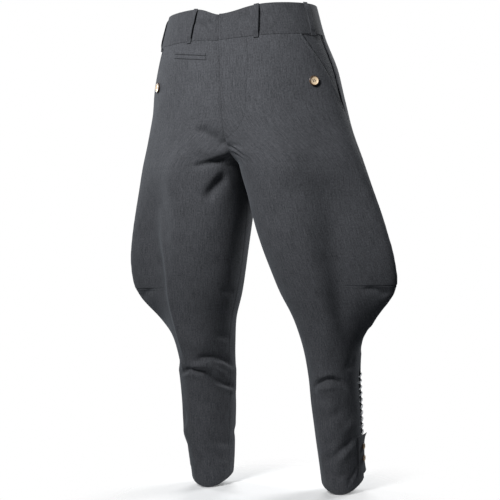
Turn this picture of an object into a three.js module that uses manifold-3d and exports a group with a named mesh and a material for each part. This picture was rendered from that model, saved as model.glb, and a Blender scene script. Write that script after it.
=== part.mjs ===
// Riding breeches in wool twill, in the hollow form that they have when worn.
// Millimetres. +X is the wearer's left, -Y the front and +Z up. The origin is the centre of the
// waist opening, level with the band's top edge at the sides.
//
// Each half is a stack of closed sections. A place on it is an angle round the section, 0 at the
// side seam, negative to the front and positive to the back, and a drop below the waist. The right
// half mirrors the left one. Every piece of cloth is a wall made from that surface.

import * as THREE from 'three';
import { mergeVertices } from 'three/addons/utils/BufferGeometryUtils.js';
import Module from 'manifold-3d';

const wasm = await Module();
wasm.setup();

const LEFT = 1;
const RIGHT = -1;
const DEGREE = Math.PI / 180;
const QUARTER = Math.PI / 2;

// Cloth
const CLOTH = 1.8; // the twill with its turnings
const BAND_CLOTH = 2.6; // two layers and a canvas
const GAP = 0.3; // between pieces that are sewn together

// Drops below the waist
const SEAM_DROP = 62; // the lower edge of the waistband
const FORK_DROP = 306; // where the legs part
const HEM_DROP = 936;

// How the front and back run under to the fork: their inner reach, how late they turn, and how
// softly they meet the legs
const FORK_REACH = 88;
const FORK_LATE = 8;
const FORK_SOFT = 1.5;

// Where the hem hangs lowest, as an angle round each leg, and how sharply the hems and the band's
// top edge bend there and at the centre of the front
const HEM_LOW = { [LEFT]: -86 * DEGREE, [RIGHT]: -118 * DEGREE };
const HEM_SHARP = 2.5;
const WAIST_SHARP = { [LEFT]: 28, [RIGHT]: 90 };

// One row for each section. The half's middle line is middle away from the centre, inner and outer
// are its plain edges, and centre is how far back it lies. front and back are its depths, and wing
// is the flare that stands out at the side seam, over the angles wingFront and wingBack. square is
// the power of the inner quadrants, 2 when they are round. turn turns the section outwards. dip
// lowers the front of it and rise lifts the back.
const COLUMNS = ['drop', 'middle', 'inner', 'outer', 'centre', 'front', 'back',
  'wing', 'wingFront', 'wingBack', 'square', 'turn', 'dip', 'rise'];
const SECTIONS = [
  [0, 0, 0, 155, -5, 100, 113, 0, 34, 40, 2.8, 0, 16, 6],
  [62, 0, 0, 171.5, -11, 98, 121, 1, 34, 40, 2.8, 0, 4, 3],
  [128, 0, 0, 185, -2, 107, 140, 8, 34, 40, 2.8, 0, 0, 0],
  [188, 0, 0, 188, 0, 107, 143, 18, 33, 38, 2.8, 0, 0, 0],
  [248, 0, 0, 187.5, 0, 103, 140, 34, 32, 37, 2.8, 0, 0, 0],
  [306, 88, 0, 186, 2, 99, 130, 55, 30, 36, 2.8, 0, 0, 0],
  [370, 95, 8.5, 187, 9, 93, 112, 73, 28, 34, 2.4, 0, 0, 0],
  [440, 106, 20, 191, 17, 89, 98, 89, 27, 33, 2.2, 0, 0, 0],
  [500, 118, 34, 197, 26, 84, 90, 94, 26, 32, 2.1, 0, 0, 0],
  [560, 131, 52, 204, 38, 79, 84, 82, 26, 32, 2.1, 2, 0, 0],
  [615, 140, 72, 205, 52, 74, 78, 34, 27, 32, 2, 4, 0, 0],
  [665, 142, 83, 200, 63, 70, 73, 5, 28, 32, 2, 7, 0, 0],
  [730, 143, 89, 193, 74, 65, 66, 0, 28, 32, 2, 9, 0, 0],
  [790, 144, 92, 191, 78, 62, 62, 0, 28, 32, 2, 10, 0, 0],
  [860, 146, 98, 191, 80, 58, 56, 0, 28, 32, 2, 10, 6, 0],
  [936, 146, 104, 189, 85, 50, 47, 0, 28, 32, 2, 10, 28, 0],
];

// The largest folds: a path of [angle, drop] places, how wide each is and how high it stands.
// Angles below -180 are on the inner side of the leg, past the inseam.
const FOLDS = [
  { half: RIGHT, path: [[-72, 228], [-103, 264], [-127, 278]], width: 12, height: -4 },
  { half: RIGHT, path: [[-90, 304], [-118, 298], [-141, 290]], width: 11, height: -4 },
  { half: RIGHT, path: [[-108, 374], [-132, 334], [-144, 321]], width: 15, height: -8 },
  { half: RIGHT, path: [[-38, 372], [-42, 453], [-50, 514], [-61, 591], [-85, 708]], width: 13, height: 4 },
  { half: RIGHT, path: [[-94, 706], [-130, 692], [-165, 700], [-199, 722]], width: 9, height: -4 },
  { half: RIGHT, path: [[-46, 729], [-123, 724], [-148, 744], [-204, 768]], width: 9, height: -4 },
  { half: RIGHT, path: [[-30, 700], [-34, 780], [-40, 880]], width: 25, height: 6.5 },
  { half: RIGHT, path: [[-200, 712], [-198, 780]], width: 20, height: 3 },
  { half: LEFT, path: [[-34, 356], [-36, 490], [-48, 608], [-40, 660]], width: 16, height: -5 },
  { half: LEFT, path: [[12, 630], [12, 690]], width: 16, height: -4 },
  { half: LEFT, path: [[-120, 270], [-112, 278], [-110, 298]], width: 9, height: -3 },
  { half: LEFT, path: [[-119, 729], [-90, 729], [-58, 747]], width: 9, height: -4 },
  { half: LEFT, path: [[-36, 844], [-66, 862], [-94, 876]], width: 9, height: -3 },
  { half: LEFT, path: [[60, 716], [95, 728], [140, 722]], width: 10, height: -4 },
  { half: RIGHT, path: [[70, 722], [105, 714], [135, 724]], width: 10, height: -4 },
  { half: LEFT, path: [[100, 330], [130, 312], [150, 300]], width: 14, height: -6 },
  { half: RIGHT, path: [[96, 334], [128, 318], [150, 304]], width: 14, height: -6 },
];

// Fly: the left front's edge lies over the right one
const FLY_WIDTH = 42;
const FLY_LIFT = 2.2;
const FLY_END_DROP = 262;

// Slanted pocket, from an angle at the waist seam down to the side seam
const POCKET_ANGLE = -29 * DEGREE;
const POCKET_END_DROP = 212;
const POCKET_UNDERLAP = 5 * DEGREE;
const POCKET_DEPTH = 1; // between the front and the hip piece behind it
const POCKET_BUTTON = { angle: -29 * DEGREE, radius: 9.8, height: 3.4 };
const POCKET_BUTTON_DROP = { [LEFT]: 153, [RIGHT]: 141 };

// Watch pocket: two welts, from the outer end to the inner one
const WELT_FROM = { angle: -52 * DEGREE, drop: 83 };
const WELT_TO = { angle: -80 * DEGREE, drop: 94 };
const WELT_HEIGHT = 6.5;
const WELT_CLOTH = 1.4;
const WELT_SPACING = 8.2;

// Belt loops
const LOOP_WIDTH = 10;
const LOOP_CLOTH = 1.5;
const LOOP_STAND = 3.6; // between the band and the loop where it stands off
const LOOP_ANGLE = { [LEFT]: -63.5 * DEGREE, [RIGHT]: -68 * DEGREE };
const LOOP_LEAN = { [LEFT]: -3 * DEGREE, [RIGHT]: 4 * DEGREE }; // over the height of the band
const SIDE_LOOP_ANGLE = { [LEFT]: -17 * DEGREE, [RIGHT]: -8 * DEGREE };

// Laced slit in the side seam of the calf
const SLIT_TOP_DROP = 712;
const SLIT_END_DROP = 862;
const SLIT_HALF_WIDTH = 5;
const LACE_TOP_DROP = 727;
const LACE_PITCH = 12.7;
const LACE_TURNS = 10;
const LACE_RADIUS = 1.1;
const EYELET_REACH = 9.5; // from the middle of the slit to an eyelet
const EYELET_SIZE = 5.2;
const LACE_BOTTOM_DROP = LACE_TOP_DROP + LACE_TURNS * LACE_PITCH;

// Ankle tab under the lacing
const TAB = { front: 26, back: 13, top: 848, bottom: 922, cloth: 1.8, rest: 1.1, flare: 7 };
const ANKLE_BUTTON = { lateral: -9, drops: [870, 892], radius: 6.3, height: 2.8 };

const COLOURS = { cloth: 0x3f4044, band: 0x404145, welt: 0x3b3c40, button: 0xd9c4a4, lace: 0xe8ebee };
const CLOTH_ROUGHNESS = 0.92;
const BUTTON_ROUGHNESS = 0.4;

// ---- The surface

const sectionCache = new Map();

// Reads one column at a drop, on a smooth curve through the rows.
function columnAt(column, drop) {
  const last = SECTIONS.length - 1;
  const run = (k) => SECTIONS[k + 1][0] - SECTIONS[k][0];
  const slope = (k) => (SECTIONS[k + 1][column] - SECTIONS[k][column]) / run(k);
  let row = 0;
  while (row < last - 1 && drop >= SECTIONS[row + 1][0]) {
    row += 1;
  }
  const tangent = (k) => {
    if (k === 0) {
      return slope(0);
    }
    if (k === last) {
      return slope(last - 1);
    }
    return (slope(k - 1) * run(k) + slope(k) * run(k - 1)) / (run(k - 1) + run(k));
  };
  const span = run(row);
  const t = (drop - SECTIONS[row][0]) / span;
  const t2 = t * t;
  const t3 = t2 * t;
  return (2 * t3 - 3 * t2 + 1) * SECTIONS[row][column] + (t3 - 2 * t2 + t) * span * tangent(row)
    + (3 * t2 - 2 * t3) * SECTIONS[row + 1][column] + (t3 - t2) * span * tangent(row + 1);
}

// The section at a drop. Above the fork its ends reach the centre line: wrap is the angle there.
function sectionAt(drop) {
  if (sectionCache.has(drop)) {
    return sectionCache.get(drop);
  }
  const section = {};
  COLUMNS.forEach((name, column) => {
    section[name] = columnAt(column, drop);
  });
  section.wrap = Math.PI;
  section.reach = section.middle - section.inner;
  if (drop < FORK_DROP) {
    const left = Math.min(1, (FORK_DROP - drop) / (FORK_DROP - SEAM_DROP));
    const share = (1 - left ** FORK_SOFT) ** FORK_LATE;
    section.wrap = QUARTER + Math.asin(share ** (section.square / 2));
    section.middle = FORK_REACH * share;
    section.reach = FORK_REACH;
  }
  sectionCache.set(drop, section);
  return section;
}

// A point of the left half's plain outer surface.
function bodyPoint(angle, drop) {
  const s = sectionAt(drop);
  const across = Math.cos(angle);
  const along = Math.sin(angle);
  const spread = (along < 0 ? s.wingFront : s.wingBack) * DEGREE;
  const power = across > 0 ? 1 : 2 / s.square;
  const plainX = (across > 0 ? s.outer - s.middle : s.reach) * Math.sign(across) * Math.abs(across) ** power;
  const x = plainX + s.wing * Math.exp(-((angle / spread) ** 2));
  const y = (along < 0 ? s.front : s.back) * Math.sign(along) * Math.abs(along) ** power;
  const turnX = Math.cos(s.turn * DEGREE);
  const turnY = Math.sin(s.turn * DEGREE);
  return new THREE.Vector3(
    s.middle + x * turnX - y * turnY + GAP / 2,
    s.centre + x * turnY + y * turnX,
    -drop,
  );
}

const ANGLE_STEP = 0.01;
const DROP_STEP = 0.5;

// The directions round the section, down it and out of it at a place.
function bodyAxes(angle, drop) {
  const round = bodyPoint(angle + ANGLE_STEP, drop).sub(bodyPoint(angle - ANGLE_STEP, drop)).normalize();
  const down = bodyPoint(angle, drop + DROP_STEP).sub(bodyPoint(angle, drop - DROP_STEP)).normalize();
  const out = down.clone().cross(round).normalize();
  return { round, out, down: round.clone().cross(out) };
}

// How many radians one millimetre round the section is.
function radiansPerMillimetre(angle, drop) {
  const step = bodyPoint(angle + ANGLE_STEP, drop).distanceTo(bodyPoint(angle - ANGLE_STEP, drop));
  return (2 * ANGLE_STEP) / step;
}

function smooth(from, to, value) {
  const t = Math.min(1, Math.max(0, (value - from) / (to - from)));
  return t * t * (3 - 2 * t);
}

// Height of one fold at a place, from how far the place is from the fold's path.
function foldHeight(fold, angle, drop) {
  const radius = sectionAt(drop).front;
  let nearest = Infinity;
  for (const turned of [angle, angle - 2 * Math.PI]) {
    for (let k = 0; k + 1 < fold.path.length; k += 1) {
      const [angleA, dropA] = fold.path[k];
      const [angleB, dropB] = fold.path[k + 1];
      const runX = (angleB - angleA) * DEGREE * radius;
      const runY = dropB - dropA;
      const toX = (turned - angleA * DEGREE) * radius;
      const toY = drop - dropA;
      const t = Math.min(1, Math.max(0, (toX * runX + toY * runY) / (runX * runX + runY * runY)));
      nearest = Math.min(nearest, Math.hypot(toX - t * runX, toY - t * runY));
    }
  }
  return fold.height * Math.exp(-((nearest / fold.width) ** 2));
}

// The left half's edge rises towards the centre line, where it lies over the right one.
function flyHeight(half, angle, drop) {
  if (half !== LEFT || angle > 0) {
    return 0;
  }
  const fromEdge = (sectionAt(drop).wrap + angle) / radiansPerMillimetre(angle, drop);
  const fade = 1 - smooth(FLY_END_DROP - FLY_WIDTH, FLY_END_DROP, drop);
  return FLY_LIFT * fade * (1 - smooth(0, FLY_WIDTH, fromEdge));
}

function relief(half, angle, drop) {
  let height = flyHeight(half, angle, drop);
  for (const fold of FOLDS) {
    if (fold.half === half) {
      height += foldHeight(fold, angle, drop);
    }
  }
  return height;
}

// How far a section's front hangs below its drop, or its back stands above it.
function tilt(half, angle, drop) {
  const { dip, rise } = sectionAt(drop);
  const atWaist = drop < FORK_DROP;
  const low = atWaist ? -QUARTER : HEM_LOW[half];
  const sharp = atWaist ? WAIST_SHARP[half] : HEM_SHARP;
  const front = ((1 + Math.cos(angle - low)) / 2) ** sharp;
  const back = Math.max(0, Math.sin(angle)) ** 2;
  return rise * back - dip * front;
}

// A point lift above the outer face of the cloth of one half, given as if it were the left one.
function clothPoint(half, angle, drop, lift) {
  const point = bodyPoint(angle, drop);
  point.addScaledVector(bodyAxes(angle, drop).out, lift + relief(half, angle, drop));
  point.z += tilt(half, angle, drop);
  return point;
}

// ---- Walls

// A closed wall over a patch. drops are its rows and span gives the two edge angles of each row.
// share spreads the columns between them, slant lowers each column, and face gives the height of
// the outer face. A parted wall keeps to its own side of the centre line.
function wall(shape) {
  const { half, drops, span, columns, cloth = CLOTH, parted = false } = shape;
  const { share = (t) => t, slant = () => 0, face = () => 0 } = shape;
  const outer = [];
  const inner = [];
  for (const drop of drops) {
    const [from, to] = span(drop);
    for (let k = 0; k <= columns; k += 1) {
      const t = share(k / columns);
      const angle = from + (to - from) * t;
      const lift = face(drop, angle, t);
      for (const [list, depth] of [[outer, 0], [inner, cloth]]) {
        const point = clothPoint(half, angle, drop + slant(angle), lift - depth);
        if (parted) {
          point.x = Math.max(point.x, GAP / 2);
        }
        list.push(point);
      }
    }
  }
  const width = columns + 1;
  const rows = drops.length;
  const faces = [];
  const quad = (a, b, c, d) => faces.push(a, b, c, a, c, d);
  const backs = outer.length;
  for (let row = 0; row + 1 < rows; row += 1) {
    for (let k = 0; k < columns; k += 1) {
      const a = row * width + k;
      quad(a, a + width, a + width + 1, a + 1);
      quad(backs + a, backs + a + 1, backs + a + width + 1, backs + a + width);
    }
    const left = row * width;
    const right = left + columns;
    quad(left, backs + left, backs + left + width, left + width);
    quad(right, right + width, backs + right + width, backs + right);
  }
  const foot = (rows - 1) * width;
  for (let k = 0; k < columns; k += 1) {
    quad(k, k + 1, backs + k + 1, backs + k);
    quad(foot + k, backs + foot + k, backs + foot + k + 1, foot + k + 1);
  }
  const geometry = new THREE.BufferGeometry();
  geometry.setFromPoints([...outer, ...inner]);
  geometry.setIndex(faces);
  return geometry;
}

// The same piece on the other half.
function mirrored(geometry) {
  const copy = geometry.clone();
  copy.scale(RIGHT, 1, 1);
  const index = Array.from(copy.index.array);
  for (let k = 0; k < index.length; k += 3) {
    [index[k + 1], index[k + 2]] = [index[k + 2], index[k + 1]];
  }
  copy.setIndex(index);
  return copy;
}

function toSolid(geometry) {
  const plain = geometry.clone();
  plain.deleteAttribute('normal');
  plain.deleteAttribute('uv');
  const merged = mergeVertices(plain);
  return new wasm.Manifold(new wasm.Mesh({
    numProp: 3,
    vertProperties: new Float32Array(merged.attributes.position.array),
    triVerts: new Uint32Array(merged.index.array),
  }));
}

function toGeometry(solid) {
  const mesh = solid.getMesh();
  const geometry = new THREE.BufferGeometry();
  geometry.setAttribute('position', new THREE.BufferAttribute(mesh.vertProperties, 3));
  geometry.setIndex(Array.from(mesh.triVerts));
  return geometry;
}

function cut(geometry, cutters) {
  let solid = toSolid(geometry);
  for (const cutter of cutters) {
    solid = solid.subtract(toSolid(cutter));
  }
  return toGeometry(solid);
}

const breeches = new THREE.Group();

function addMesh(name, geometry, colour, roughness) {
  geometry.computeVertexNormals();
  const material = new THREE.MeshStandardMaterial({ color: colour, roughness, metalness: 0 });
  const mesh = new THREE.Mesh(geometry, material);
  mesh.name = name;
  breeches.add(mesh);
  return mesh;
}

// Adds a piece that was made on the left half to the half that it belongs to.
function addCloth(name, half, geometry, colour = COLOURS.cloth) {
  addMesh(name, half === LEFT ? geometry : mirrored(geometry), colour, CLOTH_ROUGHNESS);
}

// ---- Fronts and backs

const TOP_ROWS = [SEAM_DROP + GAP, 88, 114, 142];
const FORK_ROWS = 9;
const LEG_ROWS = 24;

// Rows of the panels: even above, by the angle that the edges have turned near the fork, and even
// again down the legs.
function panelDrops() {
  const drops = [...TOP_ROWS];
  for (let k = 1; k <= FORK_ROWS; k += 1) {
    const share = Math.sin((QUARTER * k) / FORK_ROWS) ** (2 / sectionAt(FORK_DROP).square);
    const left = (1 - share ** (1 / FORK_LATE)) ** (1 / FORK_SOFT);
    drops.push(FORK_DROP - (FORK_DROP - SEAM_DROP) * left);
  }
  for (let k = 1; k <= LEG_ROWS; k += 1) {
    drops.push(FORK_DROP + ((HEM_DROP - FORK_DROP) * k) / LEG_ROWS);
  }
  return drops;
}

// Half the width of the opening in the side seam: a seam gap, wider where the calf is laced.
function slitHalf(drop) {
  const opening = smooth(SLIT_TOP_DROP, LACE_TOP_DROP, drop);
  const closing = smooth(LACE_BOTTOM_DROP, SLIT_END_DROP, drop);
  return GAP / 2 + (SLIT_HALF_WIDTH - GAP / 2) * opening * (1 - closing);
}

// Angle of the pocket opening at a drop: the front ends there, and at the side seam below it.
function pocketAngle(drop) {
  const t = (drop - SEAM_DROP) / (POCKET_END_DROP - SEAM_DROP);
  return Math.min(0, POCKET_ANGLE * (1 - t));
}

function seamAngle(drop) {
  return slitHalf(drop) * radiansPerMillimetre(0, drop);
}

// The angle of the edge at the centre line or the inseam.
function centreAngle(drop) {
  const { wrap } = sectionAt(drop);
  const closed = drop >= FORK_DROP - GAP;
  return closed ? wrap - (GAP / 2) * radiansPerMillimetre(wrap, drop) : wrap;
}

const PANEL_COLUMNS = 12;
const SIDE_CROWDING = 1.35; // crowds the columns towards the side seam, where the wing bends most
const crowdStart = (t) => t ** SIDE_CROWDING;
const crowdEnd = (t) => 1 - (1 - t) ** SIDE_CROWDING;

function eyeletCutters(half) {
  const cutters = [];
  for (let turn = 0; turn < LACE_TURNS; turn += 1) {
    for (const [sign, phase] of [[1, 0], [-1, 0.5]]) {
      const drop = LACE_TOP_DROP + (turn + phase) * LACE_PITCH;
      const angle = sign * EYELET_REACH * radiansPerMillimetre(0, drop);
      const { round, down, out } = bodyAxes(angle, drop);
      const box = new THREE.BoxGeometry(EYELET_SIZE, EYELET_SIZE, 5 * CLOTH);
      const place = new THREE.Matrix4().makeBasis(round, down.negate(), out);
      place.setPosition(clothPoint(half, angle, drop, 0));
      box.applyMatrix4(place);
      cutters.push(box);
    }
  }
  return cutters;
}

function makePanels(half, side) {
  const drops = panelDrops();
  const shape = { half, drops, columns: PANEL_COLUMNS, parted: true };
  const front = wall({
    ...shape,
    share: crowdEnd,
    span: (drop) => [-centreAngle(drop), Math.min(pocketAngle(drop), -seamAngle(drop))],
  });
  const back = wall({
    ...shape,
    share: crowdStart,
    span: (drop) => [seamAngle(drop), centreAngle(drop)],
  });
  const eyelets = eyeletCutters(half);
  addCloth(`front_${side}`, half, cut(front, eyelets));
  addCloth(`back_${side}`, half, cut(back, eyelets));
}

const HIP_ROWS = 10;

// The hip piece lies one layer under the front, behind the pocket opening.
function makeHip(half, side) {
  const top = SEAM_DROP + GAP;
  const bottom = POCKET_END_DROP + 8;
  const drops = Array.from({ length: HIP_ROWS + 1 }, (_, k) => top + ((bottom - top) * k) / HIP_ROWS);
  const geometry = wall({
    half,
    drops,
    columns: 6,
    face: () => -CLOTH - POCKET_DEPTH,
    span: (drop) => [pocketAngle(drop) - POCKET_UNDERLAP, -seamAngle(drop)],
  });
  addCloth(`hip_${side}`, half, geometry);
}

// ---- Waistband and belt loops

const BAND_DROPS = [0, 15, 31, 47, SEAM_DROP];

function makeWaistband(half, side) {
  const geometry = wall({
    half,
    drops: BAND_DROPS,
    columns: 24,
    cloth: BAND_CLOTH,
    parted: true,
    span: () => [-QUARTER, QUARTER],
  });
  addCloth(`waistband_${side}`, half, geometry, COLOURS.band);
}

// Each row of a loop: its drop, and how far it stands off between its sewn ends.
const LOOP_ROWS = [
  [-1, 0], [3, 0.1], [8, 0.75], [14, 1], [30, 1], [46, 1], [54, 0.8], [60, 0.15], [66, 0],
];

function makeLoop(name, half, angle, lean = 0) {
  const stands = new Map(LOOP_ROWS);
  const geometry = wall({
    half,
    drops: LOOP_ROWS.map(([drop]) => drop),
    columns: 2,
    cloth: LOOP_CLOTH,
    face: (drop) => LOOP_CLOTH + 2 * GAP + (LOOP_STAND - 2 * GAP) * stands.get(drop),
    span: (drop) => {
      const middle = angle + lean * (drop / SEAM_DROP - 0.5);
      const reach = (LOOP_WIDTH / 2) * radiansPerMillimetre(middle, drop);
      return [middle - reach, middle + reach];
    },
  });
  addCloth(name, half, geometry, COLOURS.band);
}

// ---- Watch pocket

function makeWelt(name, drop) {
  const slope = (WELT_TO.drop - WELT_FROM.drop) / (WELT_FROM.angle - WELT_TO.angle);
  const geometry = wall({
    half: RIGHT,
    drops: [drop - WELT_HEIGHT / 2, drop, drop + WELT_HEIGHT / 2],
    columns: 8,
    cloth: WELT_CLOTH,
    slant: (angle) => slope * (WELT_FROM.angle - angle),
    face: () => WELT_CLOTH + 2 * GAP,
    span: () => [WELT_TO.angle, WELT_FROM.angle],
  });
  addCloth(name, RIGHT, geometry, COLOURS.welt);
}

// ---- Buttons

// A turned button with a raised rim and four thread holes.
function buttonGeometry({ radius, height }) {
  const rim = radius * 0.78;
  const dish = height * 0.62;
  const profile = [
    [0, 0], [radius * 0.86, 0], [radius, height * 0.35], [radius * 0.97, height * 0.8],
    [radius * 0.88, height], [rim, height * 0.92], [rim * 0.82, dish], [0, dish],
  ];
  const turned = new THREE.LatheGeometry(profile.map(([x, y]) => new THREE.Vector2(x, y)), 16);
  turned.rotateX(QUARTER);
  const holes = [];
  for (let k = 0; k < 4; k += 1) {
    const hole = new THREE.CylinderGeometry(radius * 0.12, radius * 0.12, height * 3, 5);
    hole.rotateX(QUARTER);
    const turn = QUARTER * (k + 0.5);
    hole.translate(Math.cos(turn) * radius * 0.26, Math.sin(turn) * radius * 0.26, 0);
    holes.push(hole);
  }
  return cut(turned, holes);
}

function addButton(name, half, { angle, drop, lift }, size) {
  const button = addMesh(name, buttonGeometry(size), COLOURS.button, BUTTON_ROUGHNESS);
  const point = clothPoint(half, angle, drop, lift);
  const { out } = bodyAxes(angle, drop);
  point.x *= half;
  out.x *= half;
  button.position.copy(point);
  button.quaternion.setFromUnitVectors(new THREE.Vector3(0, 0, 1), out);
}

// ---- Calf: tongue, lace, tab and its buttons

// A tongue's columns: how far each is from the middle of the slit, and how deep its outer face is.
const TONGUE_COLUMNS = [[-21, 2.6], [-16, 2.8], [-11, 6.6], [0, 6.8], [11, 6.6], [16, 2.8], [21, 2.6]];
const TONGUE_DROPS = [704, 722, 744, 766, 788, 810, 832, 854, 872];

function makeTongue(half, side) {
  const last = TONGUE_COLUMNS.length - 1;
  const reach = TONGUE_COLUMNS[last][0];
  const geometry = wall({
    half,
    drops: TONGUE_DROPS,
    columns: last,
    share: (t) => (TONGUE_COLUMNS[Math.round(t * last)][0] / reach + 1) / 2,
    face: (drop, angle, t) => {
      const lateral = (2 * t - 1) * reach;
      return -TONGUE_COLUMNS.find(([place]) => Math.abs(place - lateral) < 1)[1];
    },
    span: (drop) => {
      const edge = reach * radiansPerMillimetre(0, drop);
      return [-edge, edge];
    },
  });
  addCloth(`calf_tongue_${side}`, half, geometry);
}

// One turn of the lace: across the slit outside, and back behind it inside. Each place is how far
// it is round in reaches of an eyelet, down in pitches, and out in millimetres.
const LACE_TURN = [
  [1, 0, -0.9], [0.66, 0.1, 1.9], [-0.66, 0.4, 1.9],
  [-1, 0.5, -0.9], [-0.66, 0.6, -3.8], [0.66, 0.9, -3.8],
];
const LACE_STEPS = 84;
const LACE_SIDES = 5;

function makeLace(half, side) {
  const points = [];
  for (let turn = 0; turn < LACE_TURNS; turn += 1) {
    for (const [round, down, out] of LACE_TURN) {
      const drop = LACE_TOP_DROP + (turn + down) * LACE_PITCH;
      const angle = round * EYELET_REACH * radiansPerMillimetre(0, drop);
      points.push(clothPoint(half, angle, drop, out));
    }
  }
  const section = new THREE.Shape();
  for (let k = 0; k < LACE_SIDES; k += 1) {
    const turn = (2 * Math.PI * k) / LACE_SIDES;
    section[k === 0 ? 'moveTo' : 'lineTo'](LACE_RADIUS * Math.cos(turn), LACE_RADIUS * Math.sin(turn));
  }
  const geometry = new THREE.ExtrudeGeometry(section, {
    steps: LACE_STEPS,
    curveSegments: 1,
    bevelEnabled: false,
    extrudePath: new THREE.CatmullRomCurve3(points),
  });
  addCloth(`calf_lace_${side}`, half, toGeometry(toSolid(geometry)), COLOURS.lace);
}

const TAB_ROWS = 8;

// The tab buttons over the seam under the lacing. Its top corner stands off the leg.
function makeTab(half, side) {
  const row = (TAB.bottom - TAB.top) / TAB_ROWS;
  const drops = Array.from({ length: TAB_ROWS + 1 }, (_, k) => TAB.top + row * k);
  const geometry = wall({
    half,
    drops,
    columns: 6,
    cloth: TAB.cloth,
    face: (drop, angle, t) => {
      const top = TAB.flare * Math.exp(-(drop - TAB.top) / 9);
      const foot = 0.4 * TAB.flare * Math.exp(-(TAB.bottom - drop) / 10);
      return TAB.cloth + TAB.rest + (top + foot) * t * t;
    },
    span: (drop) => {
      const scale = radiansPerMillimetre(0, drop);
      return [-TAB.front * scale, TAB.back * scale];
    },
  });
  addCloth(`ankle_tab_${side}`, half, geometry);
  ['upper', 'lower'].forEach((level, k) => {
    const drop = ANKLE_BUTTON.drops[k];
    const angle = ANKLE_BUTTON.lateral * radiansPerMillimetre(0, drop);
    const lift = TAB.cloth + TAB.rest + 3 * GAP;
    addButton(`ankle_button_${side}_${level}`, half, { angle, drop, lift }, ANKLE_BUTTON);
  });
}

// ---- The whole

for (const [half, side] of [[LEFT, 'left'], [RIGHT, 'right']]) {
  makePanels(half, side);
  makeHip(half, side);
  makeWaistband(half, side);
  makeLoop(`belt_loop_front_${side}`, half, LOOP_ANGLE[half], LOOP_LEAN[half]);
  makeLoop(`belt_loop_side_${side}`, half, SIDE_LOOP_ANGLE[half]);
  const buttonPlace = { angle: POCKET_BUTTON.angle, drop: POCKET_BUTTON_DROP[half], lift: 2 * GAP };
  addButton(`pocket_button_${side}`, half, buttonPlace, POCKET_BUTTON);
  makeTongue(half, side);
  makeLace(half, side);
  makeTab(half, side);
}
makeLoop('belt_loop_back', LEFT, QUARTER);
makeWelt('watch_welt_upper', WELT_FROM.drop - WELT_SPACING / 2);
makeWelt('watch_welt_lower', WELT_FROM.drop + WELT_SPACING / 2);

export default breeches;
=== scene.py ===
import math

import bpy
import numpy as np
from mathutils import Matrix, Vector


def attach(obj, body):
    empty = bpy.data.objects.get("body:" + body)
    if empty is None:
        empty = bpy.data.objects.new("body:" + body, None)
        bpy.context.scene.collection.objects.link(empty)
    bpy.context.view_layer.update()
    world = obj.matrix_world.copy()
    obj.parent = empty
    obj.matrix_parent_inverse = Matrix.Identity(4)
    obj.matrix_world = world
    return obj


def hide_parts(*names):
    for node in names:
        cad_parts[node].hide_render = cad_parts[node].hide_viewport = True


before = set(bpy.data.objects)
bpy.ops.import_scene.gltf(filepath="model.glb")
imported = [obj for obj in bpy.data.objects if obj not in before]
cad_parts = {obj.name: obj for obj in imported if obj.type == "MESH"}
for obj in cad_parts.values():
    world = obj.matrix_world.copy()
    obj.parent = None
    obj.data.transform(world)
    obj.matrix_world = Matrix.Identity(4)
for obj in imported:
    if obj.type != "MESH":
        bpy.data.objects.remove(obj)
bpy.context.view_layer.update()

# Riding breeches in wool twill, in the hollow form that they have when worn. The cloth's surface is
# worked out in millimetres, from the same table as the solids, and its meshes are made in metres.
# A place on a half is an angle round its section, 0 at the side seam, negative to the front, and a
# drop below the waist.

MM = 0.001
LEFT, RIGHT = 1, -1
SIDES = {LEFT: "left", RIGHT: "right"}
QUARTER = math.pi / 2
TURN = 2 * math.pi
RANDOM_SEED = 7


# ---- Camera

CAMERA_AZIMUTH = math.radians(25)
CAMERA_DISTANCE = 2.6
CAMERA_HEIGHT = -0.423
CAMERA_LENS = 93.6
CAMERA_PITCH = math.atan(25 / 1300)
CAMERA_YAW = math.atan(1 / 1300)
CAMERA_ROLL = math.radians(-2)


def make_camera():
    data = bpy.data.cameras.new("camera")
    data.lens = CAMERA_LENS
    data.sensor_width = 36
    data.clip_end = 50
    camera = bpy.data.objects.new("camera", data)
    bpy.context.scene.collection.objects.link(camera)
    turn = (
        Matrix.Rotation(CAMERA_AZIMUTH + CAMERA_YAW, 4, "Z")
        @ Matrix.Rotation(QUARTER - CAMERA_PITCH, 4, "X")
        @ Matrix.Rotation(CAMERA_ROLL, 4, "Z")
    )
    place = Vector((math.sin(CAMERA_AZIMUTH), -math.cos(CAMERA_AZIMUTH), 0)) * CAMERA_DISTANCE
    place.z = CAMERA_HEIGHT
    camera.matrix_world = Matrix.Translation(place) @ turn
    bpy.context.scene.camera = camera


# ---- Sizes of the cut

CLOTH = 1.8
BAND_CLOTH = 2.6
GAP = 0.3
SEAM_DROP = 62
SEAM_GAP = 0.08  # the panels are drawn up close under the band
SEWN_GAP = 0.04  # and close together at the long seams
DRAWN_FROM = 0.012  # the farthest that a middle edge is drawn in, in metres
DRAWN_OVER = 7  # how far in from the edge the cloth follows it, in millimetres
FORK_DROP = 306
HEM_DROP = 936
FORK_REACH = 88
FORK_LATE = 8
FORK_SOFT = 1.5
HEM_LOW = {LEFT: math.radians(-86), RIGHT: math.radians(-118)}
HEM_SHARP = 2.5
WAIST_SHARP = {LEFT: 28, RIGHT: 90}

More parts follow.
